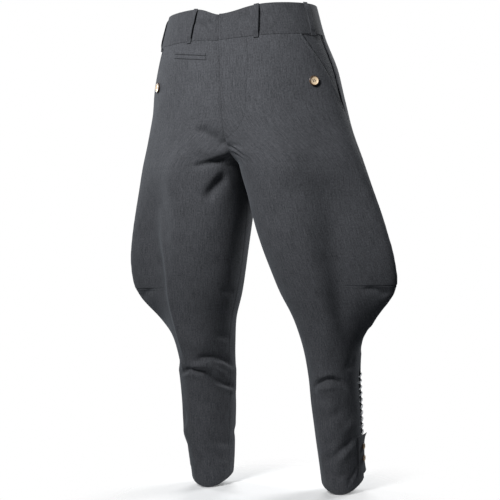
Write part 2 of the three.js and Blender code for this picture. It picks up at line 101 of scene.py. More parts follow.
COLUMNS = (
    "drop", "middle", "inner", "outer", "centre", "front", "back",
    "wing", "wing_front", "wing_back", "square", "turn", "dip", "rise",
)
SECTIONS = np.array([
    [0, 0, 0, 155, -5, 100, 113, 0, 34, 40, 2.8, 0, 16, 6],
    [62, 0, 0, 171.5, -11, 98, 121, 1, 34, 40, 2.8, 0, 4, 3],
    [128, 0, 0, 185, -2, 107, 140, 8, 34, 40, 2.8, 0, 0, 0],
    [188, 0, 0, 188, 0, 107, 143, 18, 33, 38, 2.8, 0, 0, 0],
    [248, 0, 0, 187.5, 0, 103, 140, 34, 32, 37, 2.8, 0, 0, 0],
    [306, 88, 0, 186, 2, 99, 130, 55, 30, 36, 2.8, 0, 0, 0],
    [370, 95, 8.5, 187, 9, 93, 112, 73, 28, 34, 2.4, 0, 0, 0],
    [440, 106, 20, 191, 17, 89, 98, 89, 27, 33, 2.2, 0, 0, 0],
    [500, 118, 34, 197, 26, 84, 90, 94, 26, 32, 2.1, 0, 0, 0],
    [560, 131, 52, 204, 38, 79, 84, 82, 26, 32, 2.1, 2, 0, 0],
    [615, 140, 72, 205, 52, 74, 78, 34, 27, 32, 2, 4, 0, 0],
    [665, 142, 83, 200, 63, 70, 73, 5, 28, 32, 2, 7, 0, 0],
    [730, 143, 89, 193, 74, 65, 66, 0, 28, 32, 2, 9, 0, 0],
    [790, 144, 92, 191, 78, 62, 62, 0, 28, 32, 2, 10, 0, 0],
    [860, 146, 98, 191, 80, 58, 56, 0, 28, 32, 2, 10, 6, 0],
    [936, 146, 104, 189, 85, 50, 47, 0, 28, 32, 2, 10, 28, 0],
], dtype=float)

FLY_WIDTH = 42
FLY_LIFT = 2.2
FLY_END_DROP = 262

POCKET_ANGLE = math.radians(-29)
POCKET_END_DROP = 212
POCKET_UNDERLAP = math.radians(5)
POCKET_DEPTH = 1
POCKET_STITCH = 6.5
POCKET_BUTTON = {"angle": math.radians(-29), "radius": 9.8, "height": 3.4}
POCKET_BUTTON_DROP = {LEFT: 153, RIGHT: 141}

WELT_FROM = (math.radians(-52), 83)
WELT_TO = (math.radians(-80), 94)
WELT_HEIGHT = 6.5
WELT_CLOTH = 1.4
WELT_SPACING = 8.2

LOOP_WIDTH = 10
LOOP_CLOTH = 1.5
LOOP_STAND = 3.6
LOOP_ANGLE = {LEFT: math.radians(-63.5), RIGHT: math.radians(-68)}
LOOP_LEAN = {LEFT: math.radians(-3), RIGHT: math.radians(4)}
SIDE_LOOP_ANGLE = {LEFT: math.radians(-17), RIGHT: math.radians(-8)}
LOOP_ROWS = [(-1, 0), (3, 0.1), (8, 0.75), (14, 1), (30, 1), (46, 1), (54, 0.8), (60, 0.15), (66, 0)]

SLIT_TOP_DROP = 712
SLIT_END_DROP = 862
SLIT_HALF_WIDTH = 5
LACE_TOP_DROP = 727
LACE_PITCH = 12.7
LACE_TURNS = 10
LACE_RADIUS = 1.35
EYELET_REACH = 9.5
EYELET_RADIUS = 2.3
EYELET_STITCHES = 22
LACE_BOTTOM_DROP = LACE_TOP_DROP + LACE_TURNS * LACE_PITCH
LACE_TURN = [
    (1, 0, -0.9), (0.66, 0.1, 2.1), (-0.66, 0.4, 2.1),
    (-1, 0.5, -0.9), (-0.66, 0.6, -4.1), (0.66, 0.9, -4.1),
]
TONGUE_COLUMNS = [(-21, 2.6), (-16, 2.8), (-11, 6.6), (0, 6.8), (11, 6.6), (16, 2.8), (21, 2.6)]
TONGUE_DROPS = (704, 872)

TAB = {"front": 26, "back": 13, "top": 848, "bottom": 922, "cloth": 1.8, "rest": 1.1, "flare": 7}
ANKLE_BUTTON = {"lateral": -9, "drops": (870, 892), "radius": 6.3, "height": 2.8}

DART_DROP = 548  # the dart across each wing


# ---- The cloth's surface

def smooth(start, stop, value):
    t = np.clip((value - start) / (stop - start), 0, 1)
    return t * t * (3 - 2 * t)


def section_tangents():
    knots = SECTIONS[:, :1]
    runs = np.diff(knots, axis=0)
    slopes = np.diff(SECTIONS, axis=0) / runs
    tangents = np.empty_like(SECTIONS)
    tangents[0], tangents[-1] = slopes[0], slopes[-1]
    before, after = runs[:-1], runs[1:]
    tangents[1:-1] = (slopes[:-1] * after + slopes[1:] * before) / (before + after)
    return tangents


TANGENTS = section_tangents()


def section(drop):
    """Every column of the table at the given drops, on smooth curves through its rows."""
    drop = np.asarray(drop, float)
    knots = SECTIONS[:, 0]
    row = np.clip(np.searchsorted(knots, drop, side="right") - 1, 0, len(knots) - 2)
    span = (knots[row + 1] - knots[row])[..., None]
    t = (drop - knots[row])[..., None] / span
    t2, t3 = t * t, t ** 3
    values = (
        (2 * t3 - 3 * t2 + 1) * SECTIONS[row] + (t3 - 2 * t2 + t) * span * TANGENTS[row]
        + (3 * t2 - 2 * t3) * SECTIONS[row + 1] + (t3 - t2) * span * TANGENTS[row + 1]
    )
    s = {name: values[..., k] for k, name in enumerate(COLUMNS)}
    above = drop < FORK_DROP
    left = np.clip((FORK_DROP - drop) / (FORK_DROP - SEAM_DROP), 0, 1)
    share = (1 - left ** FORK_SOFT) ** FORK_LATE
    s["wrap"] = np.where(above, QUARTER + np.arcsin(share ** (s["square"] / 2)), math.pi)
    s["reach"] = np.where(above, FORK_REACH, s["middle"] - s["inner"])
    s["middle"] = np.where(above, FORK_REACH * share, s["middle"])
    return s


def body_point(angle, drop):
    """Points of the left half's plain outer surface."""
    s = section(drop)
    across, along = np.cos(angle), np.sin(angle)
    spread = np.radians(np.where(along < 0, s["wing_front"], s["wing_back"]))
    power = np.where(across > 0, 1, 2 / s["square"])
    width = np.where(across > 0, s["outer"] - s["middle"], s["reach"])
    depth = np.where(along < 0, s["front"], s["back"])
    x = width * np.sign(across) * np.abs(across) ** power + s["wing"] * np.exp(-(angle / spread) ** 2)
    y = depth * np.sign(along) * np.abs(along) ** power
    turn_x, turn_y = np.cos(np.radians(s["turn"])), np.sin(np.radians(s["turn"]))
    return np.stack([
        s["middle"] + x * turn_x - y * turn_y + SEWN_GAP / 2,
        s["centre"] + x * turn_y + y * turn_x,
        -drop + 0 * angle,
    ], -1)


ANGLE_STEP = 0.01
DROP_STEP = 0.5


def unit(vectors):
    return vectors / np.maximum(np.linalg.norm(vectors, axis=-1, keepdims=True), 1e-9)


def body_axes(angle, drop):
    """The directions round the section, down it and out of it."""
    around = unit(body_point(angle + ANGLE_STEP, drop) - body_point(angle - ANGLE_STEP, drop))
    down = unit(body_point(angle, drop + DROP_STEP) - body_point(angle, drop - DROP_STEP))
    out = unit(np.cross(down, around))
    return around, np.cross(around, out), out


def radians_per_mm(angle, drop):
    step = body_point(angle + ANGLE_STEP, drop) - body_point(angle - ANGLE_STEP, drop)
    return 2 * ANGLE_STEP / np.linalg.norm(step, axis=-1)


# Folds and creases. Each has a path of (angle in degrees, drop) places, its width, its height,
# how far it leans, raising one side of it and sinking the other, and how much of each end fades.
# Angles below -180 are on the inner side of the leg, past the inseam.
CREASES = {
    RIGHT: [
        # the strain lines that run into the fork
        ([(-72, 228), (-86, 246), (-103, 264), (-127, 278)], 8, -8, 0.3, 0.25),
        ([(-88, 305), (-102, 303), (-118, 298), (-129, 294), (-143, 289)], 7, -4.6, -0.3, 0.3),
        ([(-108, 374), (-120, 352), (-132, 334), (-144, 321)], 12, -8, -0.4, 0.3),
        ([(-80, 258), (-96, 276), (-114, 286), (-134, 286)], 9, 3.6, 0, 0.4),
        # the ridge where the wing leaves the thigh
        ([(-38, 372), (-42, 453), (-50, 514), (-61, 591), (-73, 648), (-85, 708)], 11, 4.6, 0.3, 0.2),
        ([(-30, 352), (-27, 440), (-31, 520), (-38, 580)], 16, -4.5, 0, 0.3),
        ([(-19, 420), (-18, 470), (-18, 530)], 6, 1.6, 0, 0.4),
        # the knee
        ([(-94, 706), (-121, 694), (-142, 693), (-165, 700), (-199, 722)], 6, -6, 0.6, 0.3),
        ([(-46, 729), (-92, 717), (-123, 724), (-148, 744), (-204, 768)], 5.5, -6.5, 0.6, 0.2),
        ([(-72, 716), (-108, 706), (-140, 712), (-176, 740)], 8, 4.6, 0, 0.3),
        ([(-60, 690), (-66, 712), (-62, 735)], 8, 2.4, 0, 0.4),
        ([(-142, 549), (-158, 557), (-178, 562)], 8, -2.4, 0.4, 0.4),
        ([(-148, 640), (-162, 650), (-184, 658)], 8, -2.6, 0.4, 0.4),
        # the calf
        ([(-128, 852), (-152, 866), (-194, 878)], 7, -4.4, 0.4, 0.35),
        ([(-104, 866), (-134, 884), (-190, 906)], 7, -4.2, 0.4, 0.35),
        ([(-84, 876), (-100, 890), (-122, 898)], 7, -4.2, 0.5, 0.35),
        ([(-46, 834), (-62, 850), (-78, 862)], 9, 2.6, 0, 0.4),
        ([(-30, 700), (-34, 780), (-40, 880)], 25, 6.5, 0, 0.15),
        ([(-200, 712), (-198, 780)], 20, 3, 0, 0.2),
        ([(-60, 800), (-52, 826), (-48, 850)], 10, -2.8, 0, 0.4),
        ([(-78, 770), (-112, 790), (-150, 796)], 12, -2.6, 0.3, 0.4),
        ([(-70, 640), (-110, 664), (-150, 672)], 12, 2.2, 0.3, 0.4),
        # behind
        ([(70, 722), (105, 714), (135, 724)], 9, -4.5, 0.5, 0.3),
        ([(78, 742), (112, 738), (150, 750)], 7, -3.2, 0.5, 0.3),
        ([(66, 700), (96, 694), (124, 700)], 7, -2.6, 0.4, 0.3),
        ([(96, 334), (128, 318), (150, 304)], 13, -6, 0, 0.3),
        ([(84, 362), (116, 350), (148, 330)], 12, -4, 0, 0.35),
        ([(100, 840), (130, 852), (158, 858)], 8, -2.6, 0.4, 0.35),
        ([(40, 880), (74, 892), (110, 886)], 8, -2.6, 0.4, 0.35),
        ([(34, 372), (40, 470), (48, 560), (60, 640)], 14, 3.6, 0, 0.25),
        # the band, drawn in beside the fly
        ([(-70, 20), (-75, 32), (-83, 54), (-89, 72), (-90, 96)], 5.5, -4.2, 0.5, 0.3),
        ([(-80, 14), (-85, 34), (-89, 56)], 5, -2.6, 0, 0.3),
    ],
    LEFT: [
        ([(-34, 340), (-34, 424), (-36, 490), (-40, 540), (-48, 608), (-40, 672)], 15, -5.4, 0.2, 0.22),
        ([(-62, 360), (-64, 470), (-70, 580), (-84, 690)], 16, 2.2, 0, 0.3),
        ([(-122, 268), (-112, 276), (-110, 298)], 4.5, -4.2, 0.4, 0.3),
        ([(-130, 280), (-121, 288), (-116, 306)], 4.5, -3.2, 0.3, 0.35),
        ([(-120, 266), (-108, 268), (-96, 272)], 4, -2.4, 0, 0.35),
        # the knee
        ([(-142, 757), (-120, 742), (-98, 732), (-80, 730), (-63, 737), (-44, 756)], 6, -5.4, 0.6, 0.3),
        ([(-152, 762), (-130, 770), (-108, 774), (-88, 776)], 10, -4, 0.3, 0.4),
        ([(-132, 758), (-112, 751), (-92, 748), (-74, 750)], 6, 3.4, 0, 0.35),
        ([(-20, 690), (-34, 706), (-60, 716)], 8, -2, 0.3, 0.4),
        # a short pinch in the band
        ([(-58, 18), (-58.5, 25)], 1.4, -1.8, 0, 0.3),
        # the calf, drawn to the tab
        ([(12, 630), (12, 690)], 16, -4, 0, 0.2),
        ([(-30, 848), (-62, 864), (-94, 879), (-134, 890)], 6.5, -5.6, 0.5, 0.25),
        ([(-29, 897), (-44, 910), (-66, 925)], 5, -3.6, 0.4, 0.35),
        ([(-134, 894), (-108, 901), (-86, 908), (-50, 903)], 5.5, -3.6, 0.4, 0.35),
        ([(-120, 856), (-102, 855), (-84, 852)], 9, -3.6, 0, 0.4),
        ([(-46, 862), (-66, 872), (-84, 886)], 7, 3, 0, 0.4),
        ([(-30, 812), (-52, 830), (-84, 842)], 9, 2.6, 0.3, 0.4),
        ([(-52, 790), (-78, 802), (-108, 812), (-134, 812)], 11, -3.2, 0.3, 0.35),
        # behind
        ([(60, 716), (95, 728), (140, 722)], 9, -4.5, 0.5, 0.3),
        ([(72, 746), (104, 752), (142, 744)], 7, -3.2, 0.5, 0.3),
        ([(74, 698), (104, 702), (130, 696)], 7, -2.6, 0.4, 0.3),
        ([(100, 330), (130, 312), (150, 300)], 13, -6, 0, 0.3),
        ([(88, 366), (118, 352), (146, 326)], 12, -4, 0, 0.35),
        ([(96, 848), (128, 858), (156, 862)], 8, -2.6, 0.4, 0.35),
        ([(44, 874), (80, 886), (116, 882)], 8, -2.6, 0.4, 0.35),
        ([(34, 372), (40, 470), (48, 560), (60, 640)], 14, 3.6, 0, 0.25),
    ],
}

# The hollow under each dart near the wing's edge
DART_HOLLOW = {"path": [(-20, 555), (-16, 559), (-12, 565)], "width": 5.5, "height": -3.4}
DART_REACH = {LEFT: 40, RIGHT: 46}


def path_distance(path, angle, drop):
    """How far places are from a path, on which side, and how far along it they are."""
    radius = section(drop)["front"]
    nearest = np.full(np.shape(angle), np.inf)
    side = np.zeros(np.shape(angle))
    along = np.zeros(np.shape(angle))
    places = [(math.radians(a), d) for a, d in path]
    total = len(places) - 1
    for turned in (angle, angle - TURN):
        for k in range(total):
            (angle_a, drop_a), (angle_b, drop_b) = places[k], places[k + 1]
            run_x, run_y = (angle_b - angle_a) * radius, drop_b - drop_a
            to_x, to_y = (turned - angle_a) * radius, drop - drop_a
            t = np.clip((to_x * run_x + to_y * run_y) / (run_x ** 2 + run_y ** 2), 0, 1)
            off_x, off_y = to_x - t * run_x, to_y - t * run_y
            distance = np.hypot(off_x, off_y)
            closer = distance < nearest
            sign = np.sign(run_x * off_y - run_y * off_x)
            nearest = np.where(closer, distance, nearest)
            side = np.where(closer, sign, side)
            along = np.where(closer, (k + t) / total, along)
    return nearest, side, along


def crease_height(crease, angle, drop):
    path, width, height, lean, fade = crease
    distance, side, along = path_distance(path, angle, drop)
    away = distance / width
    ends = smooth(-0.02, fade, along) * (1 - smooth(1 - fade, 1.02, along))
    profile = np.exp(-away ** 2) + lean * side * away * np.exp(-(away / 1.5) ** 2)
    return height * ends * profile


WAVES = 14
WAVE_HEIGHT = 0.34


def unevenness(half, angle, drop):
    """The soft waves that a hanging cloth keeps between its folds."""
    random = np.random.default_rng(RANDOM_SEED + half)
    radius = section(drop)["front"]
    x, y = angle * radius, np.asarray(drop, float)
    height = np.zeros(np.shape(angle + y))
    for _ in range(WAVES):
        length = random.uniform(38, 120)
        turn = random.uniform(-0.9, 0.9)
        phase = random.uniform(0, TURN)
        across = x * math.cos(turn) / length + y * math.sin(turn) / (1.6 * length)
        height = height + np.sin(TURN * across + phase) * length / 120
    from_seam = section(drop)["wrap"] - np.abs(angle)
    return WAVE_HEIGHT * height * smooth(70, 150, y) * smooth(0, 0.5, from_seam)


def fly_height(half, angle, drop):
    """The left half's edge rises to the centre line, where it lies over the right one."""
    if half == RIGHT:
        return 0 * angle
    from_edge = (section(drop)["wrap"] + angle) / radians_per_mm(angle, drop)
    fade = 1 - smooth(FLY_END_DROP - FLY_WIDTH, FLY_END_DROP, drop)
    return FLY_LIFT * fade * (1 - smooth(0, FLY_WIDTH, from_edge)) * (angle < 0)


def dart_height(half, angle, drop):
    """A sewn line across the wing, and the hollow under it at the wing's edge."""
    reach = math.radians(DART_REACH[half])
    inside = smooth(-reach, -0.8 * reach, angle) * (1 - smooth(0.8 * reach, reach, angle))
    below = drop - DART_DROP - 2 * np.cos(angle * 2)
    groove = -1.1 * np.exp(-(below / 1.1) ** 2)
    hollow = -0.9 * smooth(0, 4, below) * (1 - smooth(6, 40, below))
    height = (groove + hollow) * inside
    for sign in (1, -1):
        path = [(sign * a, d) for a, d in DART_HOLLOW["path"]]
        distance, _, _ = path_distance(path, angle, drop)
        height = height + DART_HOLLOW["height"] * np.exp(-(distance / DART_HOLLOW["width"]) ** 2)
    return height


def relief(half, angle, drop):
    height = fly_height(half, angle, drop) + unevenness(half, angle, drop) + dart_height(half, angle, drop)
    for crease in CREASES[half]:
        height = height + crease_height(crease, angle, drop)
    return height


def tilt(half, angle, drop):
    s = section(drop)
    at_waist = np.asarray(drop) < FORK_DROP
    low = np.where(at_waist, -QUARTER, HEM_LOW[half])
    sharp = np.where(at_waist, WAIST_SHARP[half], HEM_SHARP)
    front = ((1 + np.cos(angle - low)) / 2) ** sharp
    back = np.maximum(0, np.sin(angle)) ** 2
    return s["rise"] * back - s["dip"] * front


def cloth_point(half, angle, drop, lift, height=None):
    """Points lift above the outer face of the cloth, in metres, on the half that they belong to."""
    angle, drop, lift = np.broadcast_arrays(np.asarray(angle, float), np.asarray(drop, float), lift)
    if height is None:
        height = relief(half, angle, drop)
    points = body_point(angle, drop) + body_axes(angle, drop)[2] * (lift + height)[..., None]
    points[..., 2] += tilt(half, angle, drop)
    points[..., 0] *= half
    return points * MM


def cloth_axes(half, angle, drop):
    """The directions round, down and out, on the half that they belong to."""
    axes = [np.array(v) for v in body_axes(np.asarray(angle, float), np.asarray(drop, float))]
    for v in axes:
        v[..., 0] *= half
    return axes


# ---- Meshes

def add_object(name, mesh, material):
    mesh.polygons.foreach_set("use_smooth", [True] * len(mesh.polygons))
    mesh.materials.append(material)
    piece = place_in_scene(name, mesh)
    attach(piece, "root")
    return piece


def stand_for(node):
    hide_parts(node)


def put_uvs(mesh, uvs):
    """Gives every corner of the faces the flat place of its point."""
    layer = mesh.uv_layers.new(name="cloth")
    corners = np.empty(len(mesh.loops), dtype=np.int32)
    mesh.loops.foreach_get("vertex_index", corners)
    layer.data.foreach_set("uv", np.asarray(uvs)[corners].ravel())


def mesh_from(name, points, faces, uvs=None):
    mesh = bpy.data.meshes.new(name)
    mesh.from_pydata(np.asarray(points).tolist(), [], faces)
    if uvs is not None:
        put_uvs(mesh, uvs)
    mesh.update()
    return mesh


def place_in_scene(name, data):
    """An object that holds a mesh or a light, in the scene."""
    made = bpy.data.objects.new(name, data)
    bpy.context.scene.collection.objects.link(made)
    return made


def wall(name, half, outer, inner, uv, material, holes=None):
    """A closed wall between two grids of points. holes marks the cells that are cut out."""
    rows, width = outer.shape[:2]
    count = rows * width
    number = np.arange(count).reshape(rows, width)
    kept = np.ones((rows - 1, width - 1), bool) if holes is None else ~holes
    a, b = number[:-1, :-1], number[:-1, 1:]
    c, d = number[1:, 1:], number[1:, :-1]
    faces = [np.stack([a, d, c, b], -1)[kept], np.stack([a, b, c, d], -1)[kept] + [count]]
    padded = np.pad(kept, 1)
    sides = [
        (padded[:-2, 1:-1], a, b), (padded[1:-1, 2:], b, c),
        (padded[2:, 1:-1], c, d), (padded[1:-1, :-2], d, a),
    ]
    for beyond, first, second in sides:
        rim = kept & ~beyond
        first, second = first[rim], second[rim]
        faces.append(np.stack([first, second, second + count, first + count], -1))
    faces = np.concatenate(faces)
    if half == RIGHT:
        faces = faces[:, ::-1]
    points = np.concatenate([outer.reshape(-1, 3), inner.reshape(-1, 3)])
    uvs = np.concatenate([uv.reshape(-1, 2)] * 2)
    used = np.zeros(len(points), bool)
    used[faces.ravel()] = True
    renumber = np.cumsum(used) - 1
    mesh = mesh_from(name, points[used], renumber[faces].tolist(), uvs[used])
    return add_object(name, mesh, material)


def edge_round(distance, radius):
    """The share of a cloth's thickness that is left near its folded edge."""
    t = np.clip(distance / radius, 0, 1)
    return np.maximum(0.14, np.sqrt(1 - (1 - t) ** 2))


EDGE_STEPS = np.array([0, 0.3, 0.9, 1.7, 3])


def spread_places(start, stop, step, extra=()):
    """Even places from start to stop, with more near both ends and near the extra ones."""
    places = list(np.linspace(start, stop, int(round((stop - start) / step)) + 1))
    places += list(start + EDGE_STEPS) + list(stop - EDGE_STEPS) + list(extra)
    places = sorted(p for p in places if start <= p <= stop)
    kept = [start]
    for place in places[1:]:
        if place - kept[-1] >= 0.22:
            kept.append(place)
    kept[-1] = stop
    return np.array(kept)


def columns_between(drops, start, stop, count):
    """Angles of a patch's columns, even along the cloth and closer at its edges, with how far
    each one is from the start and the stop edge."""
    samples = np.linspace(0, 1, 161)
    angles = start[:, None] + (stop - start)[:, None] * samples
    points = body_point(angles, drops[:, None])
    steps = np.linalg.norm(np.diff(points, axis=1), axis=-1)
    lengths = np.concatenate([np.zeros((len(drops), 1)), np.cumsum(steps, 1)], 1)
    total = lengths[:, -1:]
    edge = EDGE_STEPS
    middle = np.linspace(0, 1, count - 2 * len(edge) + 2)[1:-1]
    reach = edge[-1]
    places = np.concatenate([
        np.repeat(edge[None], len(drops), 0),
        reach + (total - 2 * reach) * middle[None],
        total - edge[::-1][None],
    ], 1)
    grid = np.stack([np.interp(p, l, a) for p, l, a in zip(places, lengths, angles)])
    return grid, places, total - places


SEAM_DIP_REACH = 2.4


def edge_shape(edges, rounded, seam_dip):
    """The share of its thickness that a cloth keeps, and how far it sinks, near its four edges."""
    share = np.ones(edges[0].shape)
    dip = np.zeros(edges[0].shape)
    for distance, radius, depth in zip(edges, rounded, seam_dip):
        share = np.minimum(share, edge_round(distance, radius))
        dip = np.maximum(dip, depth * np.exp(-(distance / SEAM_DIP_REACH) ** 2))
    return share, dip


def draw_to_centre(points, half, drop, from_start, from_stop):
    """Above the fork, the edges that meet at the middle are drawn together along their whole length."""
    for column, distance in ((0, from_start), (-1, from_stop)):
        away = points[:, column, 0] * half - SEWN_GAP / 2 * MM
        near = (np.abs(away) < DRAWN_FROM) & (drop[:, column] < FORK_DROP)
        points[..., 0] -= half * (away * near)[:, None] * np.exp(-(distance / DRAWN_OVER) ** 2)


def patch(name, half, drops, start, stop, count, cloth, material, face=None, parted=False,
          holes_at=None, rounded=(1, 1, 1, 1), seam_dip=(0, 0, 0, 0), slant=None, grain=None):
    """A cloth wall over a patch. rounded and seam_dip are for its start, stop, top and bottom."""
    angle, from_start, from_stop = columns_between(drops, start, stop, count)
    drop = np.repeat(drops[:, None], count, 1)
    if slant is not None:
        drop = drop + slant(angle)
    holes = None
    if holes_at is not None:
        angle, drop, holes = cut_round_holes(angle, drop, holes_at)
    edges = [from_start, from_stop, drop - drop[0], drop[-1] - drop]
    share, dip = edge_shape(edges, rounded, seam_dip)
    lift = -dip if face is None else face(drop, angle, from_start, from_stop) - dip
    height = relief(half, angle, drop)
    outer = cloth_point(half, angle, drop, lift - cloth / 2 + cloth / 2 * share, height)
    inner = cloth_point(half, angle, drop, lift - cloth / 2 - cloth / 2 * share, height)
    if parted:
        for points in (outer, inner):
            draw_to_centre(points, half, drop, from_start, from_stop)
            points[..., 0] = half * np.maximum(points[..., 0] * half, SEWN_GAP / 2 * MM)
    if grain is None:
        across = from_start
    else:
        line = np.array([np.interp(grain, a, f) for a, f in zip(angle, from_start)])
        across = from_start - line[:, None]
    uv = np.stack([across * half, drop], -1) * MM
    return wall(name, half, outer, inner, uv, material, holes)


def cut_round_holes(angle, drop, places):
    """Marks the cells inside round holes and draws the cells' corners on to the holes' edges."""
    scale = radians_per_mm(0 * angle, drop)
    lateral = angle / scale
    middle_x = (lateral[:-1, :-1] + lateral[1:, 1:]) / 2
    middle_y = (drop[:-1, :-1] + drop[1:, 1:]) / 2
    holes = np.zeros(middle_x.shape, bool)
    for x, y in places:
        inside = np.hypot(middle_x - x, middle_y - y) < EYELET_RADIUS
        holes |= inside
        touched = np.zeros(angle.shape, int)
        for rows in (slice(None, -1), slice(1, None)):
            for columns in (slice(None, -1), slice(1, None)):
                touched[rows, columns] += inside
        edge = (touched > 0) & (touched < 4)
        off_x, off_y = lateral - x, drop - y
        stretch = EYELET_RADIUS / np.maximum(np.hypot(off_x, off_y), 0.1)
        lateral = np.where(edge, x + off_x * stretch, lateral)
        drop = np.where(edge, y + off_y * stretch, drop)
    return lateral * scale, drop, holes


# ---- Materials

class Value:
    """A shader socket. Arithmetic on it adds Math nodes."""

    def __init__(self, maker, socket):
        self.maker = maker
        self.socket = socket

    def math(self, operation, first, second=0.0):
        return self.maker.add("ShaderNodeMath", {"operation": operation}, first, second)

    def __add__(self, other):
        return self.math("ADD", self, other)

    def __radd__(self, other):
        return self.math("ADD", other, self)

    def __sub__(self, other):
        return self.math("SUBTRACT", self, other)

    def __rsub__(self, other):
        return self.math("SUBTRACT", other, self)

    def __mul__(self, other):
        return self.math("MULTIPLY", self, other)

    def __rmul__(self, other):
        return self.math("MULTIPLY", other, self)

    def sine(self):
        return self.math("SINE", self)


class Finish:
    """A material with one Principled shader, and the nodes that feed it."""

    def __init__(self, name, **constants):
        self.material = bpy.data.materials.new(name)
        self.material.use_nodes = True
        self.tree = self.material.node_tree
        self.shader = self.tree.nodes["Principled BSDF"]
        for socket, value in constants.items():
            self.shader.inputs[socket.replace("_", " ")].default_value = value

    def add(self, kind, settings, *values, output=0, **named):
        node = self.tree.nodes.new(kind)
        for setting, value in settings.items():
            if setting == "stops":
                self.set_stops(node.color_ramp, value)
            else:
                setattr(node, setting, value)
        for socket, value in list(enumerate(values)) + list(named.items()):
            self.put(node.inputs[socket], value)
        return Value(self, node.outputs[output])

    def set_stops(self, ramp, stops):
        for k, (place, colour) in enumerate(stops):
            stop = ramp.elements[k] if k < 2 else ramp.elements.new(place)
            stop.position = place
            stop.color = (*colour, 1)

    def put(self, socket, value):
        if isinstance(value, Value):
            self.tree.links.new(value.socket, socket)
        else:
            socket.default_value = value

    def feed(self, socket, value):
        self.put(self.shader.inputs[socket], value)

    def noise(self, vector, scale, detail=2.0):
        return self.add("ShaderNodeTexNoise", {}, Vector=vector, Scale=scale, Detail=detail)

    def mix(self, factor, first, second):
        """A colour between two colours."""
        node = self.tree.nodes.new("ShaderNodeMix")
        node.data_type = "RGBA"
        self.put(node.inputs["Factor"], factor)
        for socket, value in ((node.inputs[6], first), (node.inputs[7], second)):
            self.put(socket, value if isinstance(value, Value) else (*value, 1))
        return Value(self, node.outputs[2])

    def stretch(self, vector, x, y, z):
        node = self.tree.nodes.new("ShaderNodeVectorMath")
        node.operation = "MULTIPLY"
        self.put(node.inputs[0], vector)
        node.inputs[1].default_value = (x, y, z)
        return Value(self, node.outputs[0])

    def cloth_place(self):
        """The place on the flat cloth, in metres: along both directions, and as a vector."""
        vector = self.add("ShaderNodeUVMap", {"uv_map": "cloth"})
        parts = self.tree.nodes.new("ShaderNodeSeparateXYZ")
        self.put(parts.inputs[0], vector)
        return Value(self, parts.outputs[0]), Value(self, parts.outputs[1]), vector

    def bump(self, height, strength, distance):
        self.feed("Normal", self.add(
            "ShaderNodeBump", {}, Height=height, Strength=strength, Distance=distance,
        ))


TWILL_LINE = 0.0011  # from one twill line to the next
TWILL_SLOPE = 1.9  # how steeply the lines climb


def twill(name, dark, light):
    """Wool twill: steep fine lines, slubs along the warp and a soft nap."""
    finish = Finish(
        name, Sheen_Weight=0.09, Sheen_Roughness=0.5, Sheen_Tint=(0.62, 0.7, 0.78, 1),
        Specular_IOR_Level=0.22,
    )
    across, down, place = finish.cloth_place()
    lines = ((across * TWILL_SLOPE + down) * (TURN / (TWILL_LINE * 2.1))).sine()
    yarns = (across * (TURN / (TWILL_LINE * 0.9))).sine() * 0.35
    slubs = finish.noise(finish.stretch(place, 640, 42, 1), 1.0)
    heather = finish.noise(finish.stretch(place, 1, 0.62, 1), 430.0, 3.0)
    flecks = finish.noise(finish.stretch(place, 1, 0.5, 1), 700.0, 2.0)
    patches = finish.noise(place, 22.0, 3.0)
    nap = finish.noise(place, 2400.0, 2.0)
    shade = slubs * 0.4 + heather * 0.36 + flecks * 0.34 + patches * 0.12 - 0.11 + lines * 0.05
    finish.feed("Base Color", finish.add(
        "ShaderNodeValToRGB", {"stops": [(0.36, dark), (0.66, light)]}, shade,
    ))
    finish.feed("Roughness", 0.82 + patches * 0.14)
    finish.bump(lines * 0.5 + yarns + nap * 0.8 + slubs * 0.5, 0.35, 0.00022)
    return finish.material


def thread(name, colour):
    finish = Finish(name, Sheen_Weight=0.15, Specular_IOR_Level=0.35)
    place = finish.add("ShaderNodeTexCoord", {}, output=3)
    strands = finish.noise(place, 2600.0, 2.0)
    dark, light = (0.7 * c for c in colour), (1.3 * c for c in colour)
    finish.feed("Base Color", finish.mix(strands, dark, light))
    finish.feed("Roughness", 0.55 + strands * 0.25)
    finish.bump(strands, 0.3, 0.0002)
    return finish.material


def horn(name, rim_share):
    """A cream horn button with a burnt brown rim and dark thread holes."""
    finish = Finish(name, Coat_Weight=0.3, Coat_Roughness=0.12, Specular_IOR_Level=0.5)
    share, _, _ = finish.cloth_place()
    place = finish.add("ShaderNodeTexCoord", {}, output=3)
    grain = finish.noise(finish.stretch(place, 1, 1, 0.3), 620.0, 4.0)
    streaks = finish.noise(finish.stretch(place, 1, 1, 4), 240.0, 3.0)
    worn = share + grain * 0.08 - 0.04
    cream = finish.mix(grain, (0.72, 0.55, 0.36), (0.90, 0.76, 0.55))
    cream = finish.mix(streaks * 0.5, cream, (0.55, 0.34, 0.17))
    brown = finish.mix(grain, (0.035, 0.016, 0.007), (0.1, 0.05, 0.022))
    burnt = finish.add("ShaderNodeMapRange", {"interpolation_type": "SMOOTHSTEP"}, worn,
                       rim_share - 0.05, rim_share + 0.03, 0.0, 1.0)
    finish.feed("Base Color", finish.mix(burnt, cream, brown))
    finish.feed("Roughness", 0.3 + grain * 0.2)
    finish.bump(grain, 0.12, 0.0003)
    return finish.material


